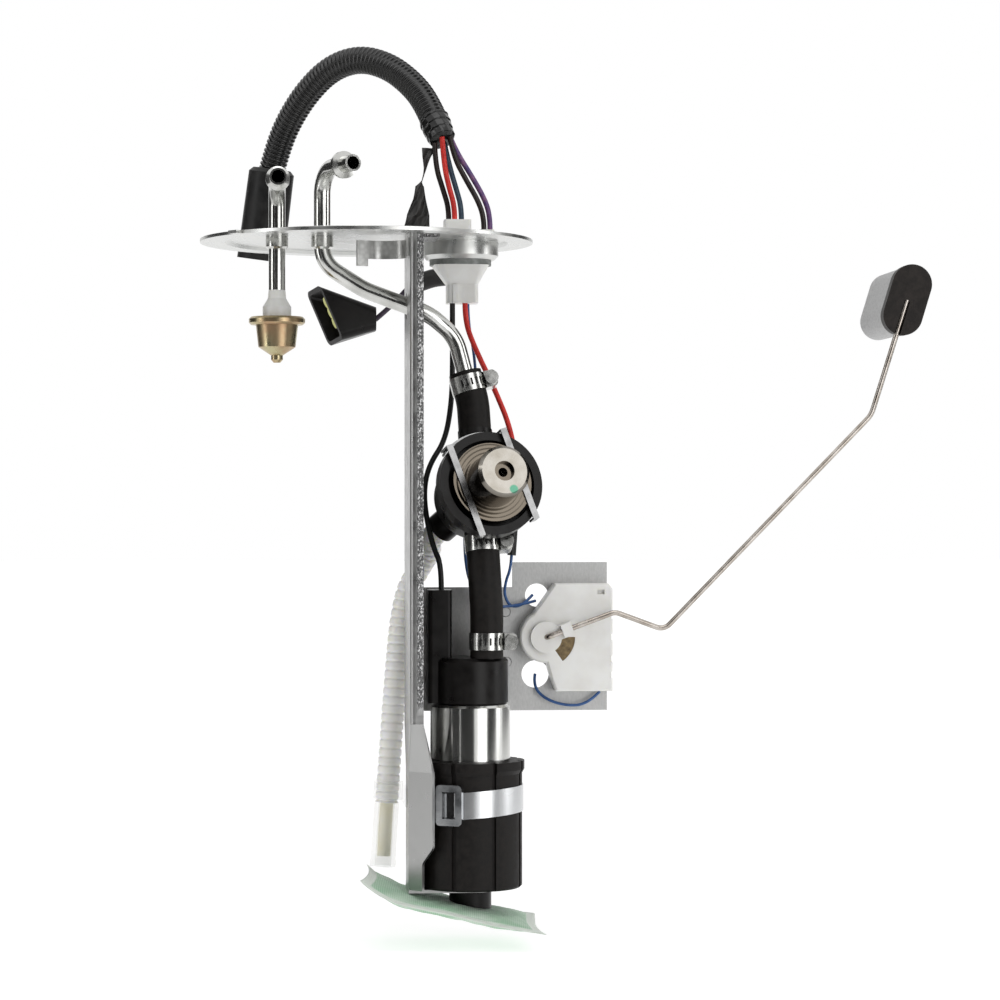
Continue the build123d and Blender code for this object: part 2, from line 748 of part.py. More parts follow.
def regulator_can():
    body, lip, nose = can_d / 2, can_flange_d / 2, nose_d / 2
    front = can_proud
    tip = front + nose_h
    foot = reg_floor - reg_deep
    shelf = foot + can_foot_h
    bore, room = stem_d / 2 + running, nose - 2
    shell = turned((bore, foot), (6, foot), (6, shelf), (body, shelf), (body, front - can_flange_h),
                   (lip, front - can_flange_h), (lip, front), (nose, front), (nose, tip - 1.5),
                   (nose - 1.5, tip), (nose_recess_d / 2, tip), (nose_recess_d / 2, tip - 3),
                   (nose_hole_d / 2, tip - 3), (nose_hole_d / 2, tip - 7), (room, tip - 7), (room, shelf + 2),
                   (bore, shelf + 2))
    return reg * shell


def valve_seat():
    """The height of the regulator's valve seat along its axis."""
    return reg_floor - reg_deep + can_foot_h + 2


def regulator_valve():
    seat = valve_seat() + running
    return reg * turned((0, seat - 8), (stem_d / 2, seat - 8), (stem_d / 2, seat), (valve_d / 2, seat),
                        (valve_d / 2, seat + 3), (3, seat + 3), (3, seat + 6), (0, seat + 6))


def regulator_spring():
    seat = valve_seat() + running + 3
    return reg * coil_spring(valve_d - 2, 1.2, seat + 0.1, can_proud + nose_h - 7.1, 6)


def regulator_clip():
    """A hairpin of flat spring strip: two legs over the can, hooked on the rim and joined by a bow."""
    leg_x = nose_d / 2 + clip_leg_w / 2 + 0.2
    rim = reg_rim_d / 2 + 0.3
    reach = (rim ** 2 - (leg_x - clip_leg_w / 2) ** 2) ** 0.5
    top = can_proud + clip_t
    clip = ring(2 * (rim + clip_t), 2 * rim, 1 - clip_hook - clip_bow_w, 1 - clip_hook)
    clip = clip & block(-leg_x - clip_leg_w / 2, leg_x + clip_leg_w / 2, 0, 2 * rim, -2 * clip_hook, 0)
    for x in (-leg_x, leg_x):
        left, right = x - clip_leg_w / 2, x + clip_leg_w / 2
        clip += block(left, right, -reach - clip_t, reach + clip_t, can_proud, top)
        clip += block(left, right, -reach - clip_t, -reach, can_proud - clip_hook, top)
        clip += block(left, right, reach, reach + clip_t, 1 - clip_hook - clip_bow_w, top)
    return reg * Rot(0, 0, clip_turn) * clip


# Return line

def return_points():
    leaving = return_mouth + return_axis * return_lead
    return [return_mouth, leaving] + [Vector(*p) for p in return_knees] + [Vector(*return_end)]


def return_hose():
    points = return_points()
    return pipe(points, even_bends(points), return_d)


def return_run():
    """The direction of the hose's last run, downwards."""
    return (Vector(*return_end) - Vector(*return_knees[-1])).normalized()


def return_sleeve():
    place = along(return_end, return_run())
    sleeve = ring(return_sleeve_d, return_bore, 0, return_sleeve_len)
    return place * (sleeve + ring(return_ring_d, return_bore, return_sleeve_len - 3, return_sleeve_len))


def return_hose_clip():
    middle = Vector(*return_end) + return_run() * ((clip_z - return_end[2]) / return_run().Z)
    low, high = clip_z - clip_h / 2, clip_z + clip_h / 2
    hoop = ring(return_d + 3, return_d + 2 * seat_gap, -clip_h / 2, clip_h / 2)
    loop = along(middle, return_run() * -1) * hoop
    back = middle.Y - 2
    arm = block(bracket_x - clip_strip_t, bracket_x, pump_y - clip_arm_back, back, low, high)
    link = block(middle.X + return_d / 2 + 0.4, bracket_x, back - clip_strip_t, back, low, high)
    return loop + arm + link


# Pump

def at_pump(piece):
    return Pos(pump_x, pump_y, 0) * piece


def pump_shell():
    outer, bore = shell_d / 2, shell_bore
    lip, roof = bore - shell_lip, shell_top - shell_wall
    return at_pump(turned((outer, shell_low + 1), (outer, shell_top - 2), (outer - 2, shell_top), (lip, shell_top),
                          (lip, roof), (bore - 1, roof), (bore, roof - 1), (bore, cover_low), (lip, cover_low),
                          (lip, shell_low), (outer - 1, shell_low)))


def pump_outlet_cap():
    room = shell_bore - shell_lip - seat_gap
    deep = shell_top - shell_wall
    cap = at_pump(turned((0, cap_low), (shell_bore - 1.2, cap_low), (shell_bore - 1.2, deep), (room, deep),
                         (room, shell_top), (cap_d / 2, shell_top), (cap_d / 2, cap_top - 1.5),
                         (cap_d / 2 - 1.5, cap_top), (0, cap_top)))
    left = pump_x - column_out
    column = block(left, left + column_w, pump_y - column_y / 2, pump_y + column_y / 2,
                   shell_top, cap_top + column_h)
    column = fillet(column.edges().filter_by(Axis.Z), 2)
    cap += column
    outlet = Pos(outlet_x, outlet_y, 0)
    cap += outlet * disc(tube_d, cap_top - 1, cap_top + outlet_h)
    cap -= outlet * disc(outlet_bore, cap_top - 2, cap_top + outlet_h + 1)
    cap -= outlet * disc(check_room_d, cap_top - 1 - check_room_h, cap_top - 1)
    cap -= outlet * disc(stem_d + 2 * running, cap_low - 1, cap_top - 5)
    return cap - at_pump(disc(shaft_d + 2 * running, cap_low - 1, cap_low + 6))


def check_seat():
    return cap_top - 1 - check_room_h + running


def check_valve():
    seat = check_seat()
    stem = turned((0, seat - 6), (stem_d / 2, seat - 6), (stem_d / 2, seat), (check_d / 2, seat),
                  (check_d / 2, seat + 1.5), (2.2, seat + 1.5), (1.5, seat + 3.5), (0, seat + 3.5))
    flow = block(-0.6, 0.6, -stem_d, stem_d, seat - 7, seat - 1)
    return Pos(outlet_x, outlet_y, 0) * (stem - flow)


def check_valve_spring():
    return Pos(outlet_x, outlet_y, 0) * coil_spring(check_d - 0.4, 0.6, check_seat() + 1.6, cap_top - 1.1, 4)


def pump_inlet_cover():
    wide = shell_bore - seat_gap
    cover = turned((0, cover_top), (wide, cover_top), (wide, cover_low), (inlet_d / 2, cover_low),
                   (inlet_d / 2, inlet_low), (0, inlet_low))
    cover -= disc(shaft_d + 2 * running, cover_top - 4, cover_top + 1)
    port = Pos(impeller_d / 2 - vane_deep, 0, 0) * disc(inlet_port_d, cover_low - 1, cover_top + 1)
    return at_pump(cover - port - disc(inlet_d - 4, inlet_low - 1, cover_low - 2))


def pump_chamber_plate():
    plate = ring(2 * (shell_bore - seat_gap), shaft_d + 2 * running, chamber_top - chamber_t, chamber_top)
    port = disc(chamber_port_d, chamber_top - chamber_t - 1, chamber_top + 1)
    return at_pump(plate - Rot(0, 0, 150) * Pos(impeller_d / 2 - vane_deep, 0, 0) * port)


def pump_magnets():
    inner = armature_d / 2 + magnet_gap
    whole = ring(2 * (shell_bore - seat_gap), 2 * inner, chamber_top, armature_top)
    whole -= block(-magnet_split / 2, magnet_split / 2, -shell_d, shell_d, chamber_top - 1, armature_top + 1)
    return [at_pump(s) for s in whole.solids()]


def pump_armature():
    core = ring(armature_d, shaft_d, armature_top - armature_len, armature_top)
    slot = block(armature_d / 2 - slot_depth, armature_d / 2 + 1, -armature_slot / 2, armature_slot / 2,
                 armature_top - armature_len - 1, armature_top + 1)
    for i in range(armature_slots):
        core -= Rot(0, 0, 360 * i / armature_slots) * slot
    return at_pump(core)


def pump_shaft():
    return at_pump(disc(shaft_d, cover_top - 3.5, cap_low + 5))


def pump_commutator():
    return at_pump(ring(commutator_d, shaft_d, commutator_top - commutator_h, commutator_top))


def pump_impeller():
    wheel = ring(impeller_d, shaft_d, impeller_top - impeller_h, impeller_top)
    vane = block(impeller_d / 2 - vane_deep, impeller_d / 2 + 1, -1, 1,
                 impeller_top - impeller_h - 1, impeller_top + 1)
    for i in range(impeller_vanes):
        wheel -= Rot(0, 0, 360 * i / impeller_vanes) * vane
    return at_pump(wheel)


def pump_brushes():
    near = commutator_d / 2 + running
    brush = block(near, near + brush_len, -brush_w / 2, brush_w / 2,
                  commutator_top - commutator_h + 0.5, cap_low)
    return [at_pump(Rot(0, 0, turn) * brush) for turn in (0, 180)]


# Isolator sleeve, strap and strainer

def isolator_sleeve():
    top = sleeve_low + sleeve_h
    bore = shell_d / 2 + seat_gap
    hole = strainer_collar_d / 2
    sleeve = turned((hole, sleeve_low), (sleeve_d / 2 - 1, sleeve_low), (sleeve_d / 2, sleeve_low + 1),
                    (sleeve_d / 2, top - sleeve_lip_h), (sleeve_lip_d / 2, top - sleeve_lip_h + 2),
                    (sleeve_lip_d / 2, top), (bore, top), (bore, shell_low), (hole, shell_low))
    groove = block(sleeve_d / 2 - groove_deep, sleeve_d, -groove_w / 2, groove_w / 2, sleeve_low - 1, top + 1)
    for i in range(groove_count):
        sleeve -= Rot(0, 0, 360 * (i + 0.5) / groove_count) * groove
    sleeve = at_pump(sleeve)
    band = strap_w / 2 + 3
    for low, high in ((sleeve_low + 2, strap_z - band), (strap_z + band, top - sleeve_lip_h - 1)):
        pad = block(bracket_x + sheet, pump_x - sleeve_d / 2 + 2, pump_y - 4, pump_y + 4, low, high)
        sleeve += pad
    return sleeve


def strap_band():
    bore = sleeve_d + 2 * seat_gap
    shell = ring(bore + 2 * strap_t, bore, strap_z - strap_w, strap_z + strap_w)
    slab = Pos(0, 0, strap_z) * Rot(0, -strap_tilt, 0) * Box(2 * sleeve_d, 2 * sleeve_d, strap_w)
    return at_pump(shell & slab)


def strap_buckle():
    near = sleeve_d / 2 + seat_gap + strap_t + 0.05
    frame = block(near, near + buckle_t, -buckle_w / 2, buckle_w / 2,
                  strap_z - buckle_h / 2, strap_z + buckle_h / 2)
    window = block(near - 1, near + buckle_t + 1, -buckle_w / 4, buckle_w / 4,
                   strap_z - strap_w / 2, strap_z + strap_w / 2)
    return at_pump(Rot(0, 0, buckle_turn) * (fillet(frame.edges().filter_by(Axis.X), 2) - window))


def bag_place():
    """The strainer's own frame: its length along X, tilted down towards the front right."""
    middle = sleeve_low - collar_room - bag_h / 2
    turn = Rot(0, 0, bag_turn) * Rot(0, bag_tilt, 0)
    return Pos(pump_x, pump_y, middle) * turn * Pos(-bag_back, 0, 0)


def strainer_bag():
    pillow = Box(bag_len - 2 * bag_hem, bag_w - 2 * bag_hem, bag_h)
    pillow = fillet(pillow.edges().filter_by(Axis.Z), bag_corner - bag_hem / 2)
    levels = pillow.edges().group_by(Axis.Z)
    pillow = chamfer(levels[-1] + levels[0], bag_h / 2 - 1, 8)
    hem = extrude(RectangleRounded(bag_len, bag_w, bag_corner), bag_hem_t / 2, both=True)
    return bag_place() * (pillow + hem)


def strainer_collar():
    low = sleeve_low - collar_room - bag_h / 2
    collar = at_pump(ring(strainer_collar_d, inlet_d + 2 * seat_gap, low, sleeve_low))
    return collar - strainer_bag()


# Level sender

def sender_plate():
    outline = Polyline((sender_left, sender_low), (sender_right, sender_low), (sender_right, sender_top),
                       (sender_step_x, sender_top), (sender_step_x, sender_step_z),
                       (sender_left, sender_step_z), close=True)
    shape = make_face(outline)
    shape -= Pos(*sender_hole) * Circle(sender_hole_d / 2)
    shape -= Pos(*sender_low_hole) * Circle(sender_low_hole_d / 2)
    shape -= Pos(*sender_side_hole) * Circle(sender_side_hole_d / 2)
    plate = facing(sender_y) * extrude(shape, sender_t)
    for place in dimples:
        plate += facing(sender_front) * Pos(*place) * extrude(Circle(dimple_d / 2), dimple_h, taper=30)
    return plate - rivet_holes(rivet_d)


def rivet_places():
    x = bracket_x + channel_depth - rivet_head_d / 2 + 0.1
    return [(x, sender_step_z - 8), (x, sender_low + 10)]


def rivet_holes(diameter):
    holes = Part()
    for place in rivet_places():
        holes += facing(bracket_rear + 1) * Pos(*place) * extrude(Circle(diameter / 2), sheet + sender_t + 2)
    return holes


def rivet():
    """A rivet along Z with its shank between two heads, from the back of the bracket."""
    grip = sheet + sender_t
    shank = disc(rivet_d - 2 * seat_gap, 0, grip)
    head = disc(rivet_head_d, grip, grip + 1.2)
    return shank + head + disc(rivet_head_d, -1, 0)


def sender_rivets():
    return [facing(bracket_rear) * Pos(*place) * rivet() for place in rivet_places()]


def sender_housing():
    outline = Polyline((housing_left, housing_low + case_heel[1]), (housing_left + case_heel[0], housing_low),
                       (housing_right, housing_low), (housing_right, housing_top - case_nick[1]),
                       (housing_right - case_nick[0], housing_top), (housing_left + case_in, housing_top),
                       (pivot_x - case_neck[0], pivot_z + case_neck[1]), close=True)
    shape = make_face(outline) + Pos(pivot_x, pivot_z) * Circle(boss_d / 2)
    body = facing(sender_front) * extrude(shape, housing_t)
    body = chamfer(body.edges().group_by(Axis.Y)[0], case_chamfer)
    window = Pos(housing_right - slot_in - slot_w / 2, housing_top - slot_in) * Rectangle(slot_w, slot_h)
    body -= facing(housing_front + slot_deep) * extrude(window, slot_deep + 1)
    for share in (0.3, 0.5, 0.7, 0.85):
        z = housing_top + (housing_low - housing_top) * share
        body -= block(housing_right - tooth_deep, housing_right + 1, housing_front - 1,
                      housing_front + housing_t / 2, z - tooth_w / 2, z + tooth_w / 2)
    body -= facing(sender_front - 2) * Pos(pivot_x, pivot_z) * extrude(Circle(rod_d / 2 + running), housing_t)
    pocket = facing(housing_front + card_t) * Pos(pivot_x, pivot_z) * extrude(card_outline(0.1), card_t + 1)
    return body - pocket


def card_outline(more):
    """The quarter ring of the resistor card under the float arm, drawn about the pivot."""
    whole = Circle(card_d / 2 + more) - Circle(boss_d / 4 - more)
    wedge = make_face(Polyline((0, 0), (card_d, 0), (card_d, -card_d * tan(radians(card_sweep))), close=True))
    return whole & wedge


def sender_card():
    return facing(housing_front + card_t) * Pos(pivot_x, pivot_z) * extrude(card_outline(0), card_t)


def float_bar(diameter):
    """The bent bar from the pivot to the float, at a diameter."""
    points = [(pivot_x, sender_front - 3, pivot_z)]
    for x, z in ((pivot_x, pivot_z), rod_elbow, rod_knee, rod_shoulder, rod_end):
        points.append((x, rod_y, z))
    return pipe(points, [*rod_bends], diameter)


def float_rod():
    return float_bar(rod_d)


def sender_rotor():
    rise = Vector(rod_elbow[0] - pivot_x, rod_elbow[1] - pivot_z).get_angle(Vector(1, 0))
    arm = Pos(rotor_arm_len / 2, 0) * Rectangle(rotor_arm_len, rotor_arm_w)
    shape = Circle(rotor_d / 2) + arm
    place = facing(rotor_back) * Pos(pivot_x, pivot_z) * Rot(0, 0, rise)
    plate = place * extrude(shape, rotor_t)
    grip = Pos(grip_out, 0) * Rectangle(grip_len, grip_w)
    plate += place * extrude(grip, rotor_t + rod_d + grip_cover)
    return plate - float_bar(rod_d + 2 * seat_gap)


def float_outline(less):
    """The float's stadium outline, leaning with the rod's last run, smaller by a margin all round."""
    return Pos(*rod_end) * Rot(0, 0, 90 - float_lean) * SlotOverall(float_len - 2 * less, float_w - 2 * less)


def float_front():
    return rod_y - rod_d / 2 - 0.1


def float_cap():
    cap = facing(float_front() + float_cap_t) * extrude(float_outline(0), float_cap_t)
    groove = SlotOverall(float_len, rod_d + 2 * seat_gap)
    slot = facing(float_front() + rod_d + 0.2) * Pos(*rod_end) * Rot(0, 0, 90 - float_lean)
    cap -= slot * Pos(-float_len / 2, 0) * extrude(groove, rod_d + 1)
    return cap - float_bar(rod_d + 2 * seat_gap)


def float_body():
    return facing(float_front() + float_cap_t + float_body_len) * extrude(float_outline(0.6), float_body_len)


# Wiring

def wire_from(place, height, points):
    """A route that starts at a place on a face, given as X and Y."""
    return [(place[0], place[1], height)] + points


def wire_red():
    return cord("wire_red", wire_from(red_route[0], socket_low, red_route[1:]), wire_d)


def splice():
    """The black sleeve where the red wire becomes a blue one."""
    aim = Vector(*red_route[-1]) - Vector(*red_route[-2])
    return along(red_route[-1], aim) * disc(splice_d, 0, splice_len)


def splice_end():
    aim = (Vector(*red_route[-1]) - Vector(*red_route[-2])).normalized()
    return Vector(*red_route[-1]) + aim * splice_len


def wire_black():
    top = (pump_x - column_out + column_w / 2 + 1, pump_y, cap_top + column_h)
    above = (top[0], top[1], top[2] + lead_drop)
    points = wire_from(black_route[0], socket_low, black_route[1:]) + [above, top]
    return [cord("wire_black", points, wire_d), splice()]


def wires_blue():
    hole = (sender_hole[0] - 2, sender_front + 0.6, sender_hole[1])
    low_hole = (sender_low_hole[0], sender_front + 0.6, sender_low_hole[1])
    terminal = (housing_right - jumper_in, sender_front - housing_t / 3, housing_low - blue_d / 2.5)
    leaving = splice_end() + (splice_end() - Vector(*red_route[-1])) * 0.5
    down = [splice_end(), leaving] + [Vector(*p) for p in blue_route] + [Vector(*hole)]
    short = cord("wire_blue", down, blue_d)
    long_hole = (sender_hole[0] - 0.6, sender_front + 0.6, sender_hole[1] - 2.8)
    far = wire_from(long_blue_route[0], socket_low, long_blue_route[1:]) + [long_hole]
    long = cord("wire_long_blue", far, blue_d)
    jumper = cord("wire_jumper", [low_hole] + jumper_route + [terminal], blue_d)
    return [short, long, jumper]


# Outer harness

def tape_end():
    """The lower end of the taped stretch, where the leads come out, and its direction."""
    aim = (Vector(*conduit_route[0]) - Vector(*conduit_route[1])).normalized()
    return Vector(*conduit_route[0]) + aim * tape_len, aim


def harness_conduit():
    return cord("harness_conduit", conduit_route, conduit_d)


def harness_tape():
    end, aim = tape_end()
    return along(conduit_route[0], aim) * disc(tape_d, 0, tape_len)


def lead(points, shift, height):
    """One outer lead from its tower to its place in the taped end."""
    end, aim = tape_end()
    place = along(end, aim).from_local_coords(Vector(shift[0], shift[1], 0))
    return wire_from(points[0], height, points[1:]) + [place]


def harness_wire_red():
    return cord("harness_wire_red", lead(red_lead, red_end, tower_top), wire_d)


def harness_wires_dark():
    wires = []
    for i, points in enumerate(dark_leads):
        height = tower_top if i < 2 else small_tower_top
        wires.append(cord(f"harness_dark_{i}", lead(points, lead_ends[i], height), wire_d))
    for i in (-1, 0, 1):
        route = [(x, y + i * wire_d * 1.1, z) for x, y, z in pigtail_route]
        end = Vector(*plug_back) + Vector(0, i * pigtail_gap, 0)
        wires.append(cord(f"pigtail_{i}", route + [end], wire_d))
    return wires


def harness_boot():
    length = (Vector(*boot_top_at) - Vector(*boot_low_at)).length
    low, top = boot_low_d / 2, boot_d / 2
    boot = turned((0, 0), (low, 0), (top, length - 2), (top - 2, length), (0, length))
    return along(boot_low_at, Vector(*boot_top_at) - Vector(*boot_low_at)) * boot


def plug_section(share, less):
    """The vehicle plug's outline at a share of its length from the mouth, smaller by a margin all round."""
    front, back = Vector(*plug_front), Vector(*plug_back)
    lean, yaw = radians(plug_lean * (1 - share)), radians(plug_yaw * (1 - share))
    normal = Vector(cos(lean) * cos(yaw), sin(yaw), sin(lean))
    wide = plug_front_w + (plug_back_w - plug_front_w) * share - 2 * less
    high = plug_front_h + (plug_back_h - plug_front_h) * share - 2 * less
    outline = RectangleRounded(wide, high, max(plug_corner - less, plug_corner / 6))
    return along(front + (back - front) * share, normal, (0, 1, 0)) * outline


def plug_loft(start, end, less):
    return loft([plug_section(start, less), plug_section(end, less)])


def vehicle_connector():
    shell = plug_loft(0, 1, 0) - plug_loft(-0.02, plug_room, plug_wall)
    return shell + plug_loft(plug_core, plug_room + 0.02, plug_wall + plug_seal_t + 1)


def vehicle_connector_seal():
    outer = plug_loft(plug_core + 0.1, plug_room - 0.04, plug_wall + plug_fit)
    return outer - plug_loft(plug_core, plug_room, plug_wall + plug_seal_t)


PIECES = [
    flange_plate, vapor_tube, supply_tube, passthrough_connector, passthrough_seal, passthrough_socket,
    hanger_bracket, hanger_brace, vapor_valve_neck, vapor_valve_crimp, vapor_valve_cup,
    vapor_valve_poppet, vapor_valve_spring, upper_hose, lower_hose, hose_clamps, clamp_screws,
    regulator_housing, regulator_can, regulator_clip, regulator_valve, regulator_spring, return_hose,
    return_sleeve, return_hose_clip, pump_shell, pump_outlet_cap, pump_inlet_cover, pump_chamber_plate,
    pump_magnets, pump_armature, pump_shaft, pump_commutator, pump_impeller, pump_brushes, check_valve,
    check_valve_spring, isolator_sleeve, strap_band, strap_buckle, strainer_collar, strainer_bag,
    sender_plate, sender_rivets, sender_housing, sender_card, sender_rotor, float_rod, float_body,
    float_cap, wire_red, wire_black, wires_blue, harness_conduit, harness_tape, harness_boot,
    harness_wire_red, harness_wires_dark, vehicle_connector, vehicle_connector_seal,
]

os.makedirs("parts", exist_ok=True)
for piece in PIECES:
    shape = piece()
    if isinstance(shape, list):
        shape = Compound(children=shape)
    shape.label = piece.__name__
    export_step(shape, f"parts/{piece.__name__}.step")
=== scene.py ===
from math import cos, pi, radians, sin

import bmesh
import bpy
from mathutils import Matrix, Vector


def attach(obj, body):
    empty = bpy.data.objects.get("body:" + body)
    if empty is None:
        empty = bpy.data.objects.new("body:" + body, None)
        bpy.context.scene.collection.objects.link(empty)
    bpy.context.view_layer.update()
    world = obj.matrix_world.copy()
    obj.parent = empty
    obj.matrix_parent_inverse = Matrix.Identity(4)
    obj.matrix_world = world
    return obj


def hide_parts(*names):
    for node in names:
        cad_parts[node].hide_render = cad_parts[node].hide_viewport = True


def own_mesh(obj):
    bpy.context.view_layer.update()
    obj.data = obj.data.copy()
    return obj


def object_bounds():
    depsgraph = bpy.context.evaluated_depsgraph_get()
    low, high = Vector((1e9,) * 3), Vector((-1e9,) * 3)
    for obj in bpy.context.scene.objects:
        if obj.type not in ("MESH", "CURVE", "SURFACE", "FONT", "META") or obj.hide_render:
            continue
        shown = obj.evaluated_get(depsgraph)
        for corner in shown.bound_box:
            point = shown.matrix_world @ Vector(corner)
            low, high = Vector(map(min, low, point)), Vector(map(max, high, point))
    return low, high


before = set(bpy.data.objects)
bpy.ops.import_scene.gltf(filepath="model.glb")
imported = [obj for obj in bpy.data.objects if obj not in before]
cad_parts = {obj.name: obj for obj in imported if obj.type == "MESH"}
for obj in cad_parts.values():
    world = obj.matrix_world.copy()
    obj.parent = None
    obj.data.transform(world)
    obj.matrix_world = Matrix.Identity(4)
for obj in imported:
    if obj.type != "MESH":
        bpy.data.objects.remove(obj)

cad_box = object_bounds()


# The white table and sweep that the module is pictured on. A tall soft lamp stands right of the
# camera, two narrow ones light the edges, and black boards between them draw dark lines on metal.
def feed(tree, socket, given):
    """Joins a socket to another one, or sets it to a plain value."""
    if isinstance(given, bpy.types.NodeSocket):
        tree.links.new(given, socket)
    else:
        socket.default_value = given


def step(tree, operation, first, second=None, kind="ShaderNodeMath", output="Value"):
    """One sum on sockets or plain numbers, as its result."""
    working = tree.nodes.new(kind)
    working.operation = operation
    feed(tree, working.inputs[0], first)
    if second is not None:
        feed(tree, working.inputs[1], second)
    return working.outputs[output]


def span(tree, value, start, end, low=0.0, high=1.0):
    """A value stretched from one range to another."""
    ruler = tree.nodes.new("ShaderNodeMapRange")
    for word, given in (("Value", value), ("From Min", start), ("From Max", end),
                        ("To Min", low), ("To Max", high)):
        feed(tree, ruler.inputs[word], given)
    return ruler.outputs["Result"]


def set_out(name, data):
    """A new object in the scene, at the origin."""
    thing = bpy.data.objects.new(name, data)
    scene.collection.objects.link(thing)
    return thing


scene = bpy.context.scene
scene.view_settings.view_transform = "Standard"

sweep_lit, sweep_seen = 0.78, 1.0
sweep_light = bpy.data.worlds.new("white_sweep")
scene.world = sweep_light
sweep_light.use_nodes = True
sky = sweep_light.node_tree
ray = sky.nodes.new("ShaderNodeLightPath").outputs
looked_at = step(sky, "MAXIMUM", ray["Is Camera Ray"], ray["Is Transmission Ray"])
mirrored = step(sky, "MAXIMUM", looked_at, ray["Is Glossy Ray"])
sky.nodes["Background"].inputs["Color"].default_value = (1, 1, 1, 1)
sky.links.new(span(sky, mirrored, 0.0, 1.0, sweep_lit, sweep_seen),
              sky.nodes["Background"].inputs["Strength"])

table_drop, table_side, table_front, table_back = 0.009, 6, -0.4, 9
table_z = cad_box[0].z - table_drop
table_mesh = bpy.data.meshes.new("white_table")
table_mesh.from_pydata([(-table_side, table_front, table_z), (table_side, table_front, table_z),
                        (table_side, table_back, table_z), (-table_side, table_back, table_z)],
                       [], [(0, 1, 2, 3)])
table = set_out("white_table", table_mesh)
table_white = bpy.data.materials.new("table_white")
table_white.use_nodes = True
paint = table_white.node_tree.nodes["Principled BSDF"]
paint.inputs["Base Color"].default_value = (0.62, 0.62, 0.62, 1)
paint.inputs["Roughness"].default_value = 0.9
paint.inputs["Specular IOR Level"].default_value = 0.1
paint.inputs["Emission Color"].default_value = (1, 1, 1, 1)
paint.inputs["Emission Strength"].default_value = 0.60
table_mesh.materials.append(table_white)

board_foot, board_head = -0.6, 0.9
board_mesh = bpy.data.meshes.new("black_boards")
corners, boards = [], []
for near, far in (((-1.15, -1.9), (0.28, -1.9)), ((1.35, -1.3), (1.65, -0.4)),
                  ((-1.2, -1.85), (-1.75, -0.75)), ((-1.3, 0.0), (-0.9, 1.3)),
                  ((1.4, 0.2), (1.05, 1.4))):
    first = len(corners)
    corners += [(*near, board_foot), (*far, board_foot), (*far, board_head), (*near, board_head)]
    boards.append(tuple(range(first, first + 4)))
board_mesh.from_pydata(corners, [], boards)
black_boards = set_out("black_boards", board_mesh)
board_black = bpy.data.materials.new("board_black")
board_black.use_nodes = True
board_paint = board_black.node_tree.nodes["Principled BSDF"]
board_paint.inputs["Base Color"].default_value = (0.03, 0.03, 0.03, 1)
board_paint.inputs["Roughness"].default_value = 0.9
board_mesh.materials.append(board_black)
black_boards.visible_camera = False

for name, place, aim, watts, wide, tall in (
    ("key_softbox", (0.90, -1.50, 0.10), (0.05, 0, -0.12), 6.5, 0.75, 1.5),
    ("right_strip", (1.55, -0.25, 0.10), (0.05, 0, -0.12), 3.5, 0.3, 1.5),
    ("left_strip", (-1.50, -0.50, 0.10), (0.05, 0, -0.12), 3.5, 0.25, 1.5),
    ("top_softbox", (0.0, -0.5, 1.3), (0.03, 0, -0.1), 4.0, 0.9, 0.9),
):
    lamp = bpy.data.lights.new(name, "AREA")
    lamp.shape = "RECTANGLE"
    lamp.energy = watts
    lamp.size = wide
    lamp.size_y = tall
    box = set_out(name, lamp)
    box.location = place
    box.rotation_euler = (Vector(aim) - Vector(place)).to_track_quat("-Z", "Y").to_euler()

view = bpy.data.cameras.new("front_view")
view.sensor_width = 36
view.lens = 109.8
camera = set_out("front_view", view)
camera.location = (-0.0641, -1.470, -0.1235)
camera.rotation_euler = (radians(90), 0, radians(-5))
scene.camera = camera


# The flange plate: a disc of cold-rolled steel with a stepped rim and a drawn pan, pressed in
# one stroke and plated in bright zinc, which dulls to a soft cloudy grey.
def skin_of(coat):
    return coat.node_tree.nodes["Principled BSDF"]


def new_coat(name, colour, rough, metal=0.0, gloss=0.5):
    coat = bpy.data.materials.new(name)
    coat.use_nodes = True
    skin = skin_of(coat)
    skin.inputs["Base Color"].default_value = (*colour, 1)
    skin.inputs["Roughness"].default_value = rough
    skin.inputs["Metallic"].default_value = metal
    skin.inputs["Specular IOR Level"].default_value = gloss
    return coat


def pattern(coat, kind, output, scale, stretch=(1, 1, 1), turn=(0, 0, 0), **sizes):
    """A pattern on the piece's own coordinates, in metres, as one value."""
    nodes, links = coat.node_tree.nodes, coat.node_tree.links
    spot = nodes.new("ShaderNodeTexCoord")
    laid = nodes.new("ShaderNodeMapping")
    laid.inputs["Scale"].default_value = stretch
    laid.inputs["Rotation"].default_value = turn
    links.new(spot.outputs["Object"], laid.inputs["Vector"])
    weave = nodes.new(kind)
    weave.inputs["Scale"].default_value = scale
    for word, size in sizes.items():
        weave.inputs[word].default_value = size
    links.new(laid.outputs["Vector"], weave.inputs["Vector"])
    return weave.outputs[output]


def cloud(coat, scale, stretch=(1, 1, 1), detail=5.0):
    return pattern(coat, "ShaderNodeTexNoise", "Fac", scale, stretch, Detail=detail)


def tint(coat, value, dark, light, start=0.35, end=0.65):
    """Colour that drifts between two tones of the same finish."""
    ramp = coat.node_tree.nodes.new("ShaderNodeValToRGB")
    ramp.color_ramp.elements[0].position = start
    ramp.color_ramp.elements[0].color = (*dark, 1)
    ramp.color_ramp.elements[1].position = end
    ramp.color_ramp.elements[1].color = (*light, 1)
    coat.node_tree.links.new(value, ramp.inputs["Fac"])
    coat.node_tree.links.new(ramp.outputs["Color"], skin_of(coat).inputs["Base Color"])


def dull(coat, value, smooth, rough):
    """Roughness that drifts with a pattern."""
    drift = span(coat.node_tree, value, 0.3, 0.7, smooth, rough)
    coat.node_tree.links.new(drift, skin_of(coat).inputs["Roughness"])


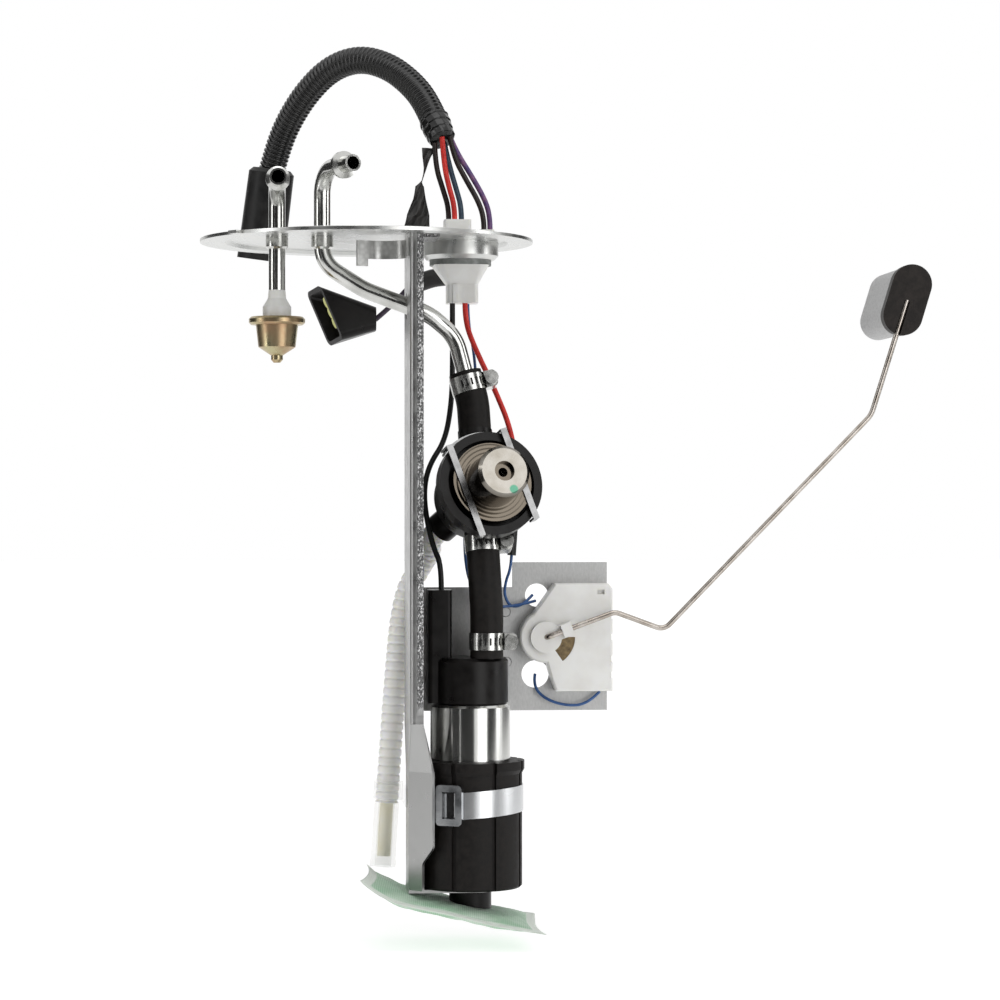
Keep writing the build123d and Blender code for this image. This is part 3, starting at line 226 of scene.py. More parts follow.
def relief(coat, value, depth, strength=0.5):
    """Fine height in metres from a pattern."""
    bump = coat.node_tree.nodes.new("ShaderNodeBump")
    bump.inputs["Distance"].default_value = depth
    bump.inputs["Strength"].default_value = strength
    coat.node_tree.links.new(value, bump.inputs["Height"])
    coat.node_tree.links.new(bump.outputs["Normal"], skin_of(coat).inputs["Normal"])


def coat_nodes(coat, *names):
    for name in names:
        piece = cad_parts[name]
        piece.data.materials.clear()
        piece.data.materials.append(coat)


zinc = new_coat("bright_zinc", (0.60, 0.60, 0.59), 0.3, 1.0)
zinc_cloud = cloud(zinc, 90)
tint(zinc, zinc_cloud, (0.54, 0.55, 0.54), (0.66, 0.66, 0.64))
dull(zinc, zinc_cloud, 0.24, 0.36)
relief(zinc, cloud(zinc, 1800), 0.00003, 0.3)
coat_nodes(zinc, "flange_plate")

# The two steel lines, bent, beaded for push-on hoses and brazed into the plate with a collar.
# They are plated after brazing, and their skin is faintly uneven.
line_zinc = new_coat("line_zinc", (0.60, 0.60, 0.58), 0.18, 1.0)
line_cloud = cloud(line_zinc, 70, (1, 1, 0.4))
tint(line_zinc, line_cloud, (0.48, 0.48, 0.46), (0.68, 0.68, 0.66))
dull(line_zinc, line_cloud, 0.10, 0.22)
relief(line_zinc, cloud(line_zinc, 160), 0.00022, 0.5)
coat_nodes(line_zinc, "vapor_tube", "supply_tube")


# The terminal body through the pan, moulded in white nylon in two halves over a grey seal.
# The upper half has two towers that the outer leads drop into.
def milky_depth(coat, weight, reach):
    """Lets light a little way into a plastic."""
    skin_of(coat).inputs["Subsurface Weight"].default_value = weight
    skin_of(coat).inputs["Subsurface Radius"].default_value = reach


nylon = new_coat("white_nylon", (0.80, 0.80, 0.78), 0.42)
milky_depth(nylon, 0.25, (0.002, 0.002, 0.0015))
tint(nylon, cloud(nylon, 90), (0.77, 0.76, 0.73), (0.84, 0.84, 0.82))
relief(nylon, cloud(nylon, 2600), 0.00003, 0.3)
coat_nodes(nylon, "passthrough_connector", "passthrough_socket", "vapor_valve_neck")

seal_grey = new_coat("seal_grey", (0.22, 0.23, 0.22), 0.6)
tint(seal_grey, cloud(seal_grey, 300), (0.18, 0.19, 0.18), (0.27, 0.28, 0.27))
relief(seal_grey, cloud(seal_grey, 2000), 0.00005, 0.3)
coat_nodes(seal_grey, "passthrough_seal")

# The hanger's brace and the sender's plate and rivets, blanked from galvanised sheet.
# The brace and rivets show zinc spangle, and the plate has a plain satin grain.
spangle = new_coat("galvanised_spangle", (0.50, 0.50, 0.49), 0.36, 1.0)
flakes = pattern(spangle, "ShaderNodeTexVoronoi", "Distance", 420, Randomness=1.0)
tint(spangle, flakes, (0.58, 0.58, 0.57), (0.44, 0.44, 0.43), 0.15, 0.75)
dull(spangle, cloud(spangle, 160), 0.30, 0.44)
relief(spangle, cloud(spangle, 900), 0.00006, 0.4)
coat_nodes(spangle, "hanger_brace", "sender_rivets")

satin_sheet = new_coat("satin_sheet", (0.46, 0.46, 0.455), 0.45, 1.0)
satin_grain = cloud(satin_sheet, 1300, (1, 1, 0.35))
tint(satin_sheet, satin_grain, (0.43, 0.43, 0.425), (0.49, 0.49, 0.485))
dull(satin_sheet, cloud(satin_sheet, 60), 0.36, 0.50)
relief(satin_sheet, satin_grain, 0.00004, 0.4)
coat_nodes(satin_sheet, "sender_plate")


# The hanger bracket: zinc-plated strip folded into a channel and welded to the plate by its foot.
# The sheared strip along its flange is torn and speckled, down to the cradle's wing.
def blend(coat, share, first, second):
    """The coat's colour, from one tone to another by a share."""
    mixed = coat.node_tree.nodes.new("ShaderNodeMix")
    mixed.data_type = "RGBA"
    for word, given in (("Factor", share), ("A", first), ("B", second)):
        feed(coat.node_tree, mixed.inputs[word], given)
    coat.node_tree.links.new(mixed.outputs["Result"], skin_of(coat).inputs["Base Color"])


strip_edge, strip_inside = 0.0206, 0.0216
wing_head, upright_foot = -0.224, -0.218
folded = new_coat("folded_zinc", (0.52, 0.52, 0.51), 0.32, 1.0)
folded_tree = folded.node_tree
sides = folded_tree.nodes.new("ShaderNodeSeparateXYZ")
folded_tree.links.new(folded_tree.nodes.new("ShaderNodeTexCoord").outputs["Object"],
                      sides.inputs["Vector"])
sheared = span(folded_tree, sides.outputs["X"], strip_edge, strip_inside)
upright = span(folded_tree, sides.outputs["Z"], wing_head, upright_foot)
strip = step(folded_tree, "MULTIPLY", sheared, upright)
torn = step(folded_tree, "MULTIPLY", strip, cloud(folded, 1700, (1, 1, 0.55)))
speckle = folded_tree.nodes.new("ShaderNodeValToRGB")
for place, tone in ((0.30, 0.38), (0.36, 0.04), (0.52, 0.20), (0.64, 0.75)):
    speckle.color_ramp.elements.new(place).color = (tone, tone, tone, 1)
speckle.color_ramp.elements[0].color = (0.38, 0.38, 0.375, 1)
folded_tree.links.new(torn, speckle.inputs["Fac"])
blend(folded, upright, (0.40, 0.40, 0.395, 1), speckle.outputs["Color"])
dull(folded, cloud(folded, 200), 0.26, 0.42)
relief(folded, torn, 0.0009, 0.8)
coat_nodes(folded, "hanger_bracket")

# The vapor valve under its tube: a pressed cup, zinc-plated and passivated yellow, is crimped
# over a nylon poppet. The pump's check valve is moulded in the same natural nylon.
yellow_zinc = new_coat("yellow_zinc", (0.44, 0.35, 0.20), 0.3, 1.0)
passivate = cloud(yellow_zinc, 110)
tint(yellow_zinc, passivate, (0.46, 0.42, 0.25), (0.40, 0.27, 0.16))
dull(yellow_zinc, passivate, 0.22, 0.40)
relief(yellow_zinc, cloud(yellow_zinc, 1500), 0.00005, 0.4)
coat_nodes(yellow_zinc, "vapor_valve_crimp", "vapor_valve_cup")

natural = new_coat("natural_nylon", (0.80, 0.77, 0.68), 0.34)
milky_depth(natural, 0.35, (0.003, 0.0025, 0.0015))
tint(natural, cloud(natural, 120), (0.76, 0.72, 0.61), (0.86, 0.84, 0.77))
relief(natural, cloud(natural, 1800), 0.00003, 0.3)
coat_nodes(natural, "vapor_valve_poppet", "check_valve")

# The springs, the pump's shaft, the regulator's valve and the hose clamps with their screws.
# All are drawn or rolled steel, bright from the die and only faintly clouded.
drawn_steel = new_coat("drawn_steel", (0.58, 0.58, 0.56), 0.22, 1.0)
drawn_cloud = cloud(drawn_steel, 250)
tint(drawn_steel, drawn_cloud, (0.48, 0.48, 0.46), (0.66, 0.66, 0.64))
dull(drawn_steel, drawn_cloud, 0.14, 0.28)
relief(drawn_steel, cloud(drawn_steel, 3000), 0.00002, 0.3)
coat_nodes(drawn_steel, "vapor_valve_spring", "regulator_spring", "regulator_valve",
           "check_valve_spring", "pump_shaft", "hose_clamps", "clamp_screws")

# The two wire springs that a lifting valve pushes on, wound from drawn steel.
# Each is a copy of its part's mesh, with doubled points merged, shown in the part's place.
regulator_axis = (0.185141, -0.952469, 0.241922)
same_place = 0.000001
for name, joint, axis, seated, keep in (
    ("check_valve_spring", "check_lift", (0, 0, 1), (0.0549, -0.0380, -0.1991), 0.83),
    ("regulator_spring", "regulator_lift", regulator_axis, (0.05874, -0.06914, -0.11176), 0.972),
):
    coil_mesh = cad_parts[name].data.copy()
    wound = bmesh.new()
    wound.from_mesh(coil_mesh)
    bmesh.ops.remove_doubles(wound, verts=wound.verts, dist=same_place)
    wound.to_mesh(coil_mesh)
    wound.free()
    coil = set_out(name + "_coil", coil_mesh)
    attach(coil, "module")
    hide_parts(name)
    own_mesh(coil)

# The two short fuel hoses and the pump's isolating sleeve, in black nitrile rubber.
# The hoses are cut square, and all three are dusty from the mould.
fuel_rubber = new_coat("fuel_rubber", (0.007, 0.006, 0.005), 0.5, gloss=0.18)
rubber_dust = cloud(fuel_rubber, 350)
tint(fuel_rubber, rubber_dust, (0.0048, 0.0040, 0.0036), (0.011, 0.0092, 0.0082))
dull(fuel_rubber, rubber_dust, 0.42, 0.62)
relief(fuel_rubber, cloud(fuel_rubber, 1400), 0.00006, 0.4)
coat_nodes(fuel_rubber, "upper_hose", "lower_hose", "isolator_sleeve")

# The black mouldings: the regulator's housing, the pump's caps, plate and impeller, the
# strainer's collar and the vehicle plug. All come glossy from the tool in a filled plastic.
black_mould = new_coat("black_mould", (0.006, 0.005, 0.005), 0.34, gloss=0.2)
mould_cloud = cloud(black_mould, 160)
tint(black_mould, mould_cloud, (0.0040, 0.0034, 0.0032), (0.0085, 0.0075, 0.0070))
dull(black_mould, mould_cloud, 0.26, 0.42)
relief(black_mould, cloud(black_mould, 2200), 0.00003, 0.4)
coat_nodes(black_mould, "regulator_housing", "pump_outlet_cap", "pump_inlet_cover",
           "pump_chamber_plate", "pump_impeller", "strainer_collar", "vehicle_connector")


# The regulator's can, drawn in steel and plated, held in the housing's mouth by a spring clip.
# Its shoulder, next to the housing's mouth, is a darker brown and ringed from turning; its nose
# keeps the lighter tone, with a green dab.
def tone_of(coat):
    """What colours the coat so far."""
    return skin_of(coat).inputs["Base Color"].links[0].from_socket


can_seat = (0.0558, -0.054, -0.1156)
shoulder_brown_end, nose_tone_start = 0.0205, 0.0228
shoulder_end, nose_start, ring_pitch = 0.0185, 0.0200, 0.0019
dab_place, dab_edge, dab_core = (0.06420, -0.07724, -0.11846), 0.0023, 0.0017
shoulder_brown, dab_green = (0.105, 0.090, 0.072, 1), (0.07, 0.19, 0.13, 1)
nickel = new_coat("satin_nickel", (0.24, 0.23, 0.21), 0.25, 1.0)
nickel_cloud = cloud(nickel, 120)
tint(nickel, nickel_cloud, (0.19, 0.175, 0.15), (0.28, 0.265, 0.24))
dull(nickel, nickel_cloud, 0.09, 0.20)
nickel_tree, vectors = nickel.node_tree, "ShaderNodeVectorMath"
can_spot = nickel_tree.nodes.new("ShaderNodeTexCoord").outputs["Object"]
from_seat = step(nickel_tree, "SUBTRACT", can_spot, can_seat, vectors, "Vector")
out_of_seat = step(nickel_tree, "DOT_PRODUCT", from_seat, regulator_axis, vectors)
# The shoulder is brown out to this distance from the seat, and the nose keeps the lighter tone
# beyond it.
nose_share = span(nickel_tree, out_of_seat, shoulder_brown_end, nose_tone_start)
blend(nickel, nose_share, shoulder_brown, tone_of(nickel))
off_axis = step(nickel_tree, "CROSS_PRODUCT", from_seat, regulator_axis, vectors, "Vector")
ring_at = step(nickel_tree, "LENGTH", off_axis, kind=vectors)
ring_phase = step(nickel_tree, "MULTIPLY", ring_at, 2 * pi / ring_pitch)
shoulder_only = span(nickel_tree, out_of_seat, shoulder_end, nose_start, 1.0, 0.0)
turned_rings = step(nickel_tree, "MULTIPLY", step(nickel_tree, "SINE", ring_phase), shoulder_only)
relief(nickel, turned_rings, 0.00009, 0.25)
from_dab = step(nickel_tree, "DISTANCE", can_spot, dab_place, vectors)
blend(nickel, span(nickel_tree, from_dab, dab_edge, dab_core), tone_of(nickel), dab_green)
coat_nodes(nickel, "regulator_can")

clip_steel = new_coat("clip_steel", (0.24, 0.24, 0.24), 0.25, 1.0)
clip_cloud = cloud(clip_steel, 220)
tint(clip_steel, clip_cloud, (0.17, 0.17, 0.17), (0.30, 0.30, 0.30))
dull(clip_steel, clip_cloud, 0.18, 0.30)
coat_nodes(clip_steel, "regulator_clip")

# The slots that the clamp screws bite in, punched through the bands on the screw's side.
# Each is a short near-black block standing on the band: painted shade where the slot's hole is.
# A near-black finish: painted shade for the slots' holes.
slot_shadow = new_coat("slot_shadow", (0.012, 0.012, 0.012), 0.6, gloss=0.1)
tint(slot_shadow, cloud(slot_shadow, 900), (0.008, 0.008, 0.008), (0.02, 0.02, 0.02))
band_sizes = {"Slot Count": 22, "Radius": 0.00838, "Plain Share": 0.66, "Slot Depth": 0.0003,
              "Slot Width": 0.0009, "Slot Length": 0.0034}
slot_tree = bpy.data.node_groups.new("band_slots", "GeometryNodeTree")
slot_tree.interface.new_socket("Geometry", in_out="INPUT", socket_type="NodeSocketGeometry")
for word, size in band_sizes.items():
    kind = "NodeSocketInt" if isinstance(size, int) else "NodeSocketFloat"
    slot_tree.interface.new_socket(word, in_out="INPUT", socket_type=kind)
slot_tree.interface.new_socket("Geometry", in_out="OUTPUT", socket_type="NodeSocketGeometry")
slot_nodes, slot_links = slot_tree.nodes, slot_tree.links
slot_sizes = slot_nodes.new("NodeGroupInput").outputs
slot_end = slot_nodes.new("NodeGroupOutput")
band_line = slot_nodes.new("GeometryNodeCurvePrimitiveCircle")
slot_links.new(slot_sizes["Slot Count"], band_line.inputs["Resolution"])
slot_links.new(slot_sizes["Radius"], band_line.inputs["Radius"])
slot_size = slot_nodes.new("ShaderNodeCombineXYZ")
for word, axis in (("Slot Depth", "X"), ("Slot Width", "Y"), ("Slot Length", "Z")):
    slot_links.new(slot_sizes[word], slot_size.inputs[axis])
slot_form = slot_nodes.new("GeometryNodeMeshCube")
slot_links.new(slot_size.outputs["Vector"], slot_form.inputs["Size"])
slot_number = slot_nodes.new("GeometryNodeInputIndex").outputs["Index"]
slot_share = step(slot_tree, "DIVIDE", slot_number, slot_sizes["Slot Count"])
slot_turn = slot_nodes.new("ShaderNodeCombineXYZ")
slot_links.new(step(slot_tree, "MULTIPLY", slot_share, 2 * pi), slot_turn.inputs["Z"])
slots_set = slot_nodes.new("GeometryNodeInstanceOnPoints")
slot_links.new(band_line.outputs["Curve"], slots_set.inputs["Points"])
slot_links.new(slot_form.outputs["Mesh"], slots_set.inputs["Instance"])
slot_links.new(step(slot_tree, "GREATER_THAN", slot_share, slot_sizes["Plain Share"]),
               slots_set.inputs["Selection"])
slot_links.new(slot_turn.outputs["Vector"], slots_set.inputs["Rotation"])
slots_real = slot_nodes.new("GeometryNodeRealizeInstances")
slot_links.new(slots_set.outputs["Instances"], slots_real.inputs["Geometry"])
slots_dark = slot_nodes.new("GeometryNodeSetMaterial")
slots_dark.inputs["Material"].default_value = slot_shadow
slot_links.new(slots_real.outputs["Geometry"], slots_dark.inputs["Geometry"])
slot_links.new(slots_dark.outputs["Geometry"], slot_end.inputs["Geometry"])


def grow(name, base, tree, sizes):
    """The finished plain mesh of a tree on a base object, which goes."""
    maker = base.modifiers.new("maker", "NODES")
    maker.node_group = tree
    for socket in tree.interface.items_tree:
        if socket.in_out == "INPUT" and socket.name in sizes:
            maker[socket.identifier] = sizes[socket.name]
    bpy.context.view_layer.update()
    grown = base.evaluated_get(bpy.context.evaluated_depsgraph_get())
    mesh = bpy.data.meshes.new_from_object(grown)
    mesh.name = name
    bpy.data.objects.remove(base)
    return set_out(name, mesh)


for name, place, rise, out in (
    ("upper_band_slots", (47.469, -20.95, -68.739),
     (-0.24484, 0.15827, 0.95656), (0.96956, 0.03997, 0.24155)),
    ("middle_band_slots", (52.844, -38.793, -144.403),
     (-0.04616, 0.23748, 0.9703), (0.99893, 0.01097, 0.04484)),
    ("lower_band_slots", (54.908, -38.013, -190.0), (0, 0, 1), (1, 0, 0)),
):
    bare = set_out(name + "_base", bpy.data.meshes.new(name + "_base"))
    slots = grow(name, bare, slot_tree, band_sizes)
    rise, out = Vector(rise).normalized(), Vector(out).normalized()
    side = rise.cross(out)
    turn = Matrix((out, side, rise)).transposed().to_4x4()
    slots.data.transform(Matrix.Translation(Vector(place) / 1000) @ turn)
    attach(slots, "module")


# The return line: natural nylon blown into a ribbed hose, pushed on the housing's rear port
# and held to the bracket by a clip. Its plain tail ends in a clear sleeve.
def route_line(name, points):
    """A smooth line through a route's points, with no thickness."""
    line = bpy.data.curves.new(name, "CURVE")
    line.dimensions = "3D"
    line.resolution_u = 16
    run = line.splines.new("NURBS")
    run.points.add(len(points) - 1)
    for knot, point in zip(run.points, points):
        knot.co = (*(c / 1000 for c in point), 1)
    run.order_u = 3
    run.use_endpoint_u = True
    return set_out(name, line)


def round_out(line, radius, facets, coat):
    """Gives a bare line its thickness, closed ends and finish."""
    line.data.bevel_depth = radius
    line.data.bevel_resolution = facets
    line.data.use_fill_caps = True
    line.data.materials.append(coat)


def ribbed_tree(coat):
    """Rings of even pitch along a line: sizes in metres."""
    tree = bpy.data.node_groups.new("ribbed_tube", "GeometryNodeTree")
    tree.interface.new_socket("Geometry", in_out="INPUT", socket_type="NodeSocketGeometry")
    for word, usual in (("Radius", 0.005), ("Rib Depth", 0.0006), ("Rib Pitch", 0.004),
                        ("Groove Floor", -0.55), ("Groove Edge", 0.55)):
        socket = tree.interface.new_socket(word, in_out="INPUT", socket_type="NodeSocketFloat")
        socket.default_value = usual
    tree.interface.new_socket("Geometry", in_out="OUTPUT", socket_type="NodeSocketGeometry")
    nodes, links = tree.nodes, tree.links
    size = nodes.new("NodeGroupInput").outputs
    made = nodes.new("NodeGroupOutput")
    rings_per_rib, hoop_sides = 8, 28
    even = nodes.new("GeometryNodeResampleCurve")
    even.mode = "LENGTH"
    links.new(size["Geometry"], even.inputs["Curve"])
    links.new(step(tree, "DIVIDE", size["Rib Pitch"], rings_per_rib), even.inputs["Length"])
    along = nodes.new("GeometryNodeSplineParameter").outputs["Length"]
    turns = step(tree, "DIVIDE", along, size["Rib Pitch"])
    wave = step(tree, "SINE", step(tree, "MULTIPLY", turns, 2 * pi))
    steep = span(tree, wave, size["Groove Floor"], size["Groove Edge"])
    swell = step(tree, "MULTIPLY", steep, size["Rib Depth"])
    core = step(tree, "SUBTRACT", size["Radius"], size["Rib Depth"])
    hoop = nodes.new("GeometryNodeCurvePrimitiveCircle")
    hoop.inputs["Resolution"].default_value = hoop_sides
    hoop.inputs["Radius"].default_value = 1
    skin = nodes.new("GeometryNodeCurveToMesh")
    skin.inputs["Fill Caps"].default_value = True
    links.new(even.outputs["Curve"], skin.inputs["Curve"])
    links.new(hoop.outputs["Curve"], skin.inputs["Profile Curve"])
    links.new(step(tree, "ADD", core, swell), skin.inputs["Scale"])
    soft = nodes.new("GeometryNodeSetShadeSmooth")
    links.new(skin.outputs["Mesh"], soft.inputs["Geometry"])
    whole = nodes.new("GeometryNodeRealizeInstances")
    links.new(soft.outputs["Geometry"], whole.inputs["Geometry"])
    painted = nodes.new("GeometryNodeSetMaterial")
    painted.inputs["Material"].default_value = coat
    links.new(whole.outputs["Geometry"], painted.inputs["Geometry"])
    links.new(painted.outputs["Geometry"], made.inputs["Geometry"])
    return tree


pale_nylon = new_coat("pale_nylon", (0.93, 0.92, 0.88), 0.32)
milky_depth(pale_nylon, 0.4, (0.004, 0.0035, 0.002))
tint(pale_nylon, cloud(pale_nylon, 90), (0.92, 0.905, 0.86), (0.95, 0.945, 0.92))
return_route = [(34.77, -13.83, -137.02), (29.37, -8.7, -142.07), (30.9, 1.0, -148.0),
                (25.0, 10.0, -158.0), (18.0, 9.5, -172.0), (13.9, 8.0, -212.0),
                (10.1, 8.0, -270.0)]
ribbed_hose = grow("ribbed_return_hose", route_line("return_route", return_route),
                   ribbed_tree(pale_nylon),
                   {"Radius": 0.0056, "Rib Depth": 0.0007, "Rib Pitch": 0.0042,
                    "Groove Floor": -1.0, "Groove Edge": -0.62})
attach(ribbed_hose, "module")
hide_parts("return_hose")

cream = new_coat("cream_nylon", (0.95, 0.90, 0.70), 0.36)
tint(cream, cloud(cream, 160), (0.94, 0.88, 0.64), (0.97, 0.94, 0.79))
relief(cream, cloud(cream, 700), 0.00008, 0.3)
hose_tail = route_line("return_hose_tail", [(10.1, 8.0, -270.0), (9.6, 8.0, -278.0),
                                            (9.1, 8.3, -286.0), (8.6, 8.0, -296.0)])
round_out(hose_tail, 0.0033, 6, cream)
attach(hose_tail, "module")

clear_nylon = new_coat("clear_nylon", (0.92, 0.92, 0.90), 0.12)
skin_of(clear_nylon).inputs["Alpha"].default_value = 0.18
tint(clear_nylon, cloud(clear_nylon, 150), (0.90, 0.89, 0.85), (0.95, 0.95, 0.94))
relief(clear_nylon, cloud(clear_nylon, 900), 0.00003, 0.3)
coat_nodes(clear_nylon, "return_sleeve", "return_hose_clip")

# The pump: a bright drawn can, with magnets, a wound armature, a copper commutator and carbon
# brushes inside. Only the can is seen, and faint lines run up it from the drawing die.
can_steel = new_coat("drawn_can", (0.62, 0.62, 0.60), 0.14, 1.0)
can_cloud = cloud(can_steel, 60, (1, 1, 0.15))
tint(can_steel, can_cloud, (0.56, 0.56, 0.54), (0.68, 0.68, 0.66))
dull(can_steel, can_cloud, 0.10, 0.18)
relief(can_steel, cloud(can_steel, 300, (1, 1, 0.1)), 0.00004, 0.3)
coat_nodes(can_steel, "pump_shell")

ferrite = new_coat("ferrite", (0.06, 0.055, 0.05), 0.6)
tint(ferrite, cloud(ferrite, 500), (0.05, 0.045, 0.04), (0.08, 0.075, 0.07))
coat_nodes(ferrite, "pump_magnets")

stacked_sheet = new_coat("stacked_sheet", (0.30, 0.29, 0.28), 0.4, 1.0)
sheet_edges = pattern(stacked_sheet, "ShaderNodeTexWave", "Fac", 300, (0, 0, 1))
relief(stacked_sheet, sheet_edges, 0.0001, 0.5)
coat_nodes(stacked_sheet, "pump_armature")

copper = new_coat("commutator_copper", (0.60, 0.28, 0.15), 0.3, 1.0)
tint(copper, cloud(copper, 300), (0.45, 0.20, 0.11), (0.65, 0.33, 0.19))
coat_nodes(copper, "pump_commutator")

carbon = new_coat("brush_carbon", (0.03, 0.03, 0.033), 0.5)
tint(carbon, cloud(carbon, 900), (0.02, 0.02, 0.023), (0.05, 0.05, 0.053))
coat_nodes(carbon, "pump_brushes")

# The strap that holds the pump and its rubber sleeve to the cradle: bright steel band, pulled
# tight and closed by a pressed buckle of a darker plate.
strap_steel = new_coat("strap_steel", (0.62, 0.63, 0.64), 0.24, 1.0)
strap_cloud = cloud(strap_steel, 40)
tint(strap_steel, strap_cloud, (0.59, 0.60, 0.61), (0.65, 0.66, 0.67))
dull(strap_steel, strap_cloud, 0.20, 0.28)
coat_nodes(strap_steel, "strap_band")

buckle_steel = new_coat("buckle_steel", (0.36, 0.37, 0.38), 0.2, 1.0)
buckle_cloud = cloud(buckle_steel, 90)
tint(buckle_steel, buckle_cloud, (0.28, 0.29, 0.30), (0.46, 0.47, 0.48))
dull(buckle_steel, buckle_cloud, 0.14, 0.28)
coat_nodes(buckle_steel, "strap_buckle")


# The slit in the buckle's window, where the strap's tongue turns down beside the frame.
# It is deep and narrow, and its shade is painted as a near-black upright block in the window.
def from_bench(name, work, soft=False):
    """A plain mesh of what was worked on the bench, smooth if it is soft."""
    mesh = bpy.data.meshes.new(name)
    work.to_mesh(mesh)
    work.free()
    for face in mesh.polygons:
        face.use_smooth = soft
    return mesh


slit_size, slit_edge = (0.0034, 0.0005, 0.0122), 0.0002
slit_place, slit_turn = (0.03675, -0.05006, -0.266), radians(-26)
slit = bmesh.new()
bmesh.ops.create_cube(slit, size=1)
bmesh.ops.scale(slit, vec=slit_size, verts=slit.verts)
bmesh.ops.bevel(slit, geom=slit.edges, offset=slit_edge, segments=2, affect="EDGES", profile=0.5)
slit_mesh = from_bench("buckle_slit_shade", slit)
slit_mesh.transform(Matrix.Translation(slit_place) @ Matrix.Rotation(slit_turn, 4, "Z"))
# The block is painted shade, near-black, where the slit is.
slit_mesh.materials.append(slot_shadow)
buckle_slit_shade = set_out("buckle_slit_shade", slit_mesh)
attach(buckle_slit_shade, "module")

# The strainer: two layers of pale green woven cloth, welded white round their edge, slack over a
# spacer and pushed on the pump's inlet by a collar. Its left end curls up.
bag_half, bag_side, bag_crown = 0.0425, 0.033, 0.0032
end_waist, side_waist, corner_pull = 0.06, 0.10, 0.005
open_half, open_side = 0.90, 0.87
half_cloth, end_curl, side_wave = 0.0004, 0.0085, 0.0006
rows, ribs = 84, 64
cloth = bmesh.new()
welded = cloth.verts.layers.float.new("weld")


def bag_point(i, j, side):
    """Where the cloth lies at a crossing, and how far it is welded there."""
    s, t = 2 * i / rows - 1, 2 * j / ribs - 1
    pulled = (max(s, 0) * max(-t, 0)) ** 2
    x = bag_half * s * (1 - end_waist * (1 - t * t) * (s < 0)) + corner_pull * pulled
    y = bag_side * t * (1 - side_waist * (1 - s * s))
    inner_s, inner_t = min(abs(s) / open_half, 1), min(abs(t) / open_side, 1)
    swell = ((1 - inner_s ** 4) * (1 - inner_t ** 4)) ** 0.5
    wrinkle = 0.10 * sin(9 * s + 4 * t) * cos(7 * t - 3 * s) + 0.06 * sin(23 * s - 11 * t)
    edge = half_cloth * min(1, (1 - max(abs(s), abs(t))) * 40)
    curl = end_curl * max(-s, 0) ** 3 + side_wave * sin(5 * s + 2) * t * t
    lift = curl + side * (edge + bag_crown * swell * (0.9 + wrinkle))
    return Vector((x, y, lift)), 1 - min(swell * 6, 1)


def sew_layers(work, grid, rows, ribs):
    """Faces on the two layers of a grid that share their rim."""
    for i in range(rows):
        for j in range(ribs):
            for side in (1, -1):
                around = [grid[i, j, side], grid[i + 1, j, side],
                          grid[i + 1, j + 1, side], grid[i, j + 1, side]]
                work.faces.new(around if side == 1 else around[::-1])


grid = {}
for i in range(rows + 1):
    for j in range(ribs + 1):
        rim = i in (0, rows) or j in (0, ribs)
        for side in (1, -1):
            if rim and side == -1:
                grid[i, j, side] = grid[i, j, 1]
            else:
                place, flat = bag_point(i, j, side)
                grid[i, j, side] = cloth.verts.new(place)
                grid[i, j, side][welded] = flat
sew_layers(cloth, grid, rows, ribs)
bag_mesh = from_bench("strainer_cloth", cloth, soft=True)
inlet_place, bag_turn, bag_tilt, bag_shift = (0.048, -0.027, -0.3185), -5, 11, -0.011
bag_mesh.transform(Matrix.Translation(inlet_place)
                   @ Matrix.Rotation(radians(bag_turn), 4, "Z")
                   @ Matrix.Rotation(radians(bag_tilt), 4, "Y")
                   @ Matrix.Translation((bag_shift, 0, 0)))
bag = set_out("strainer_cloth", bag_mesh)
woven = new_coat("strainer_weave", (0.50, 0.64, 0.50), 0.6)
skin_of(woven).inputs["Sheen Weight"].default_value = 0.2
threads = 330
warp = pattern(woven, "ShaderNodeTexWave", "Fac", threads, turn=(0, 0, radians(5)))
weft = pattern(woven, "ShaderNodeTexWave", "Fac", threads, turn=(0, 0, radians(95)))
crossed = step(woven.node_tree, "MULTIPLY", warp, weft)
tint(woven, crossed, (0.24, 0.44, 0.28), (0.46, 0.64, 0.48), 0.02, 0.6)
hem_mark = woven.node_tree.nodes.new("ShaderNodeAttribute")
hem_mark.attribute_name = "weld"
milky = span(woven.node_tree, cloud(woven, 45), 0.46, 0.85)
paled = step(woven.node_tree, "MAXIMUM", hem_mark.outputs["Fac"], milky)
blend(woven, paled, tone_of(woven), (0.72, 0.78, 0.71, 1))
relief(woven, crossed, 0.0003, 0.5)
bag_mesh.materials.append(woven)
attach(bag, "module")
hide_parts("strainer_bag")

# The level sender: a white moulded case on a galvanised plate, with a resistor card that the
# float arm's wiper sweeps. The rotor clips on the bent rod.
coat_nodes(nylon, "sender_housing", "sender_rotor")
card_bronze = new_coat("card_bronze", (0.16, 0.11, 0.05), 0.4, 0.4)
tint(card_bronze, cloud(card_bronze, 500), (0.10, 0.07, 0.035), (0.24, 0.17, 0.08))
coat_nodes(card_bronze, "sender_card")

# The float and its arm: a bent rod of plain steel, and grey closed-cell foam with a dark moulded
# cap that the rod snaps into.
arm_steel = new_coat("float_arm_steel", (0.46, 0.42, 0.38), 0.28, 1.0)
arm_cloud = cloud(arm_steel, 180)
tint(arm_steel, arm_cloud, (0.36, 0.32, 0.28), (0.54, 0.50, 0.46))
dull(arm_steel, arm_cloud, 0.2, 0.34)
relief(arm_steel, cloud(arm_steel, 1200), 0.00004, 0.3)
coat_nodes(arm_steel, "float_rod")

foam = new_coat("float_foam", (0.46, 0.46, 0.46), 0.7)
foam_cells = pattern(foam, "ShaderNodeTexVoronoi", "Distance", 900)
tint(foam, foam_cells, (0.52, 0.52, 0.52), (0.40, 0.40, 0.40), 0.1, 0.8)
relief(foam, foam_cells, 0.0002, 0.5)
coat_nodes(foam, "float_body")

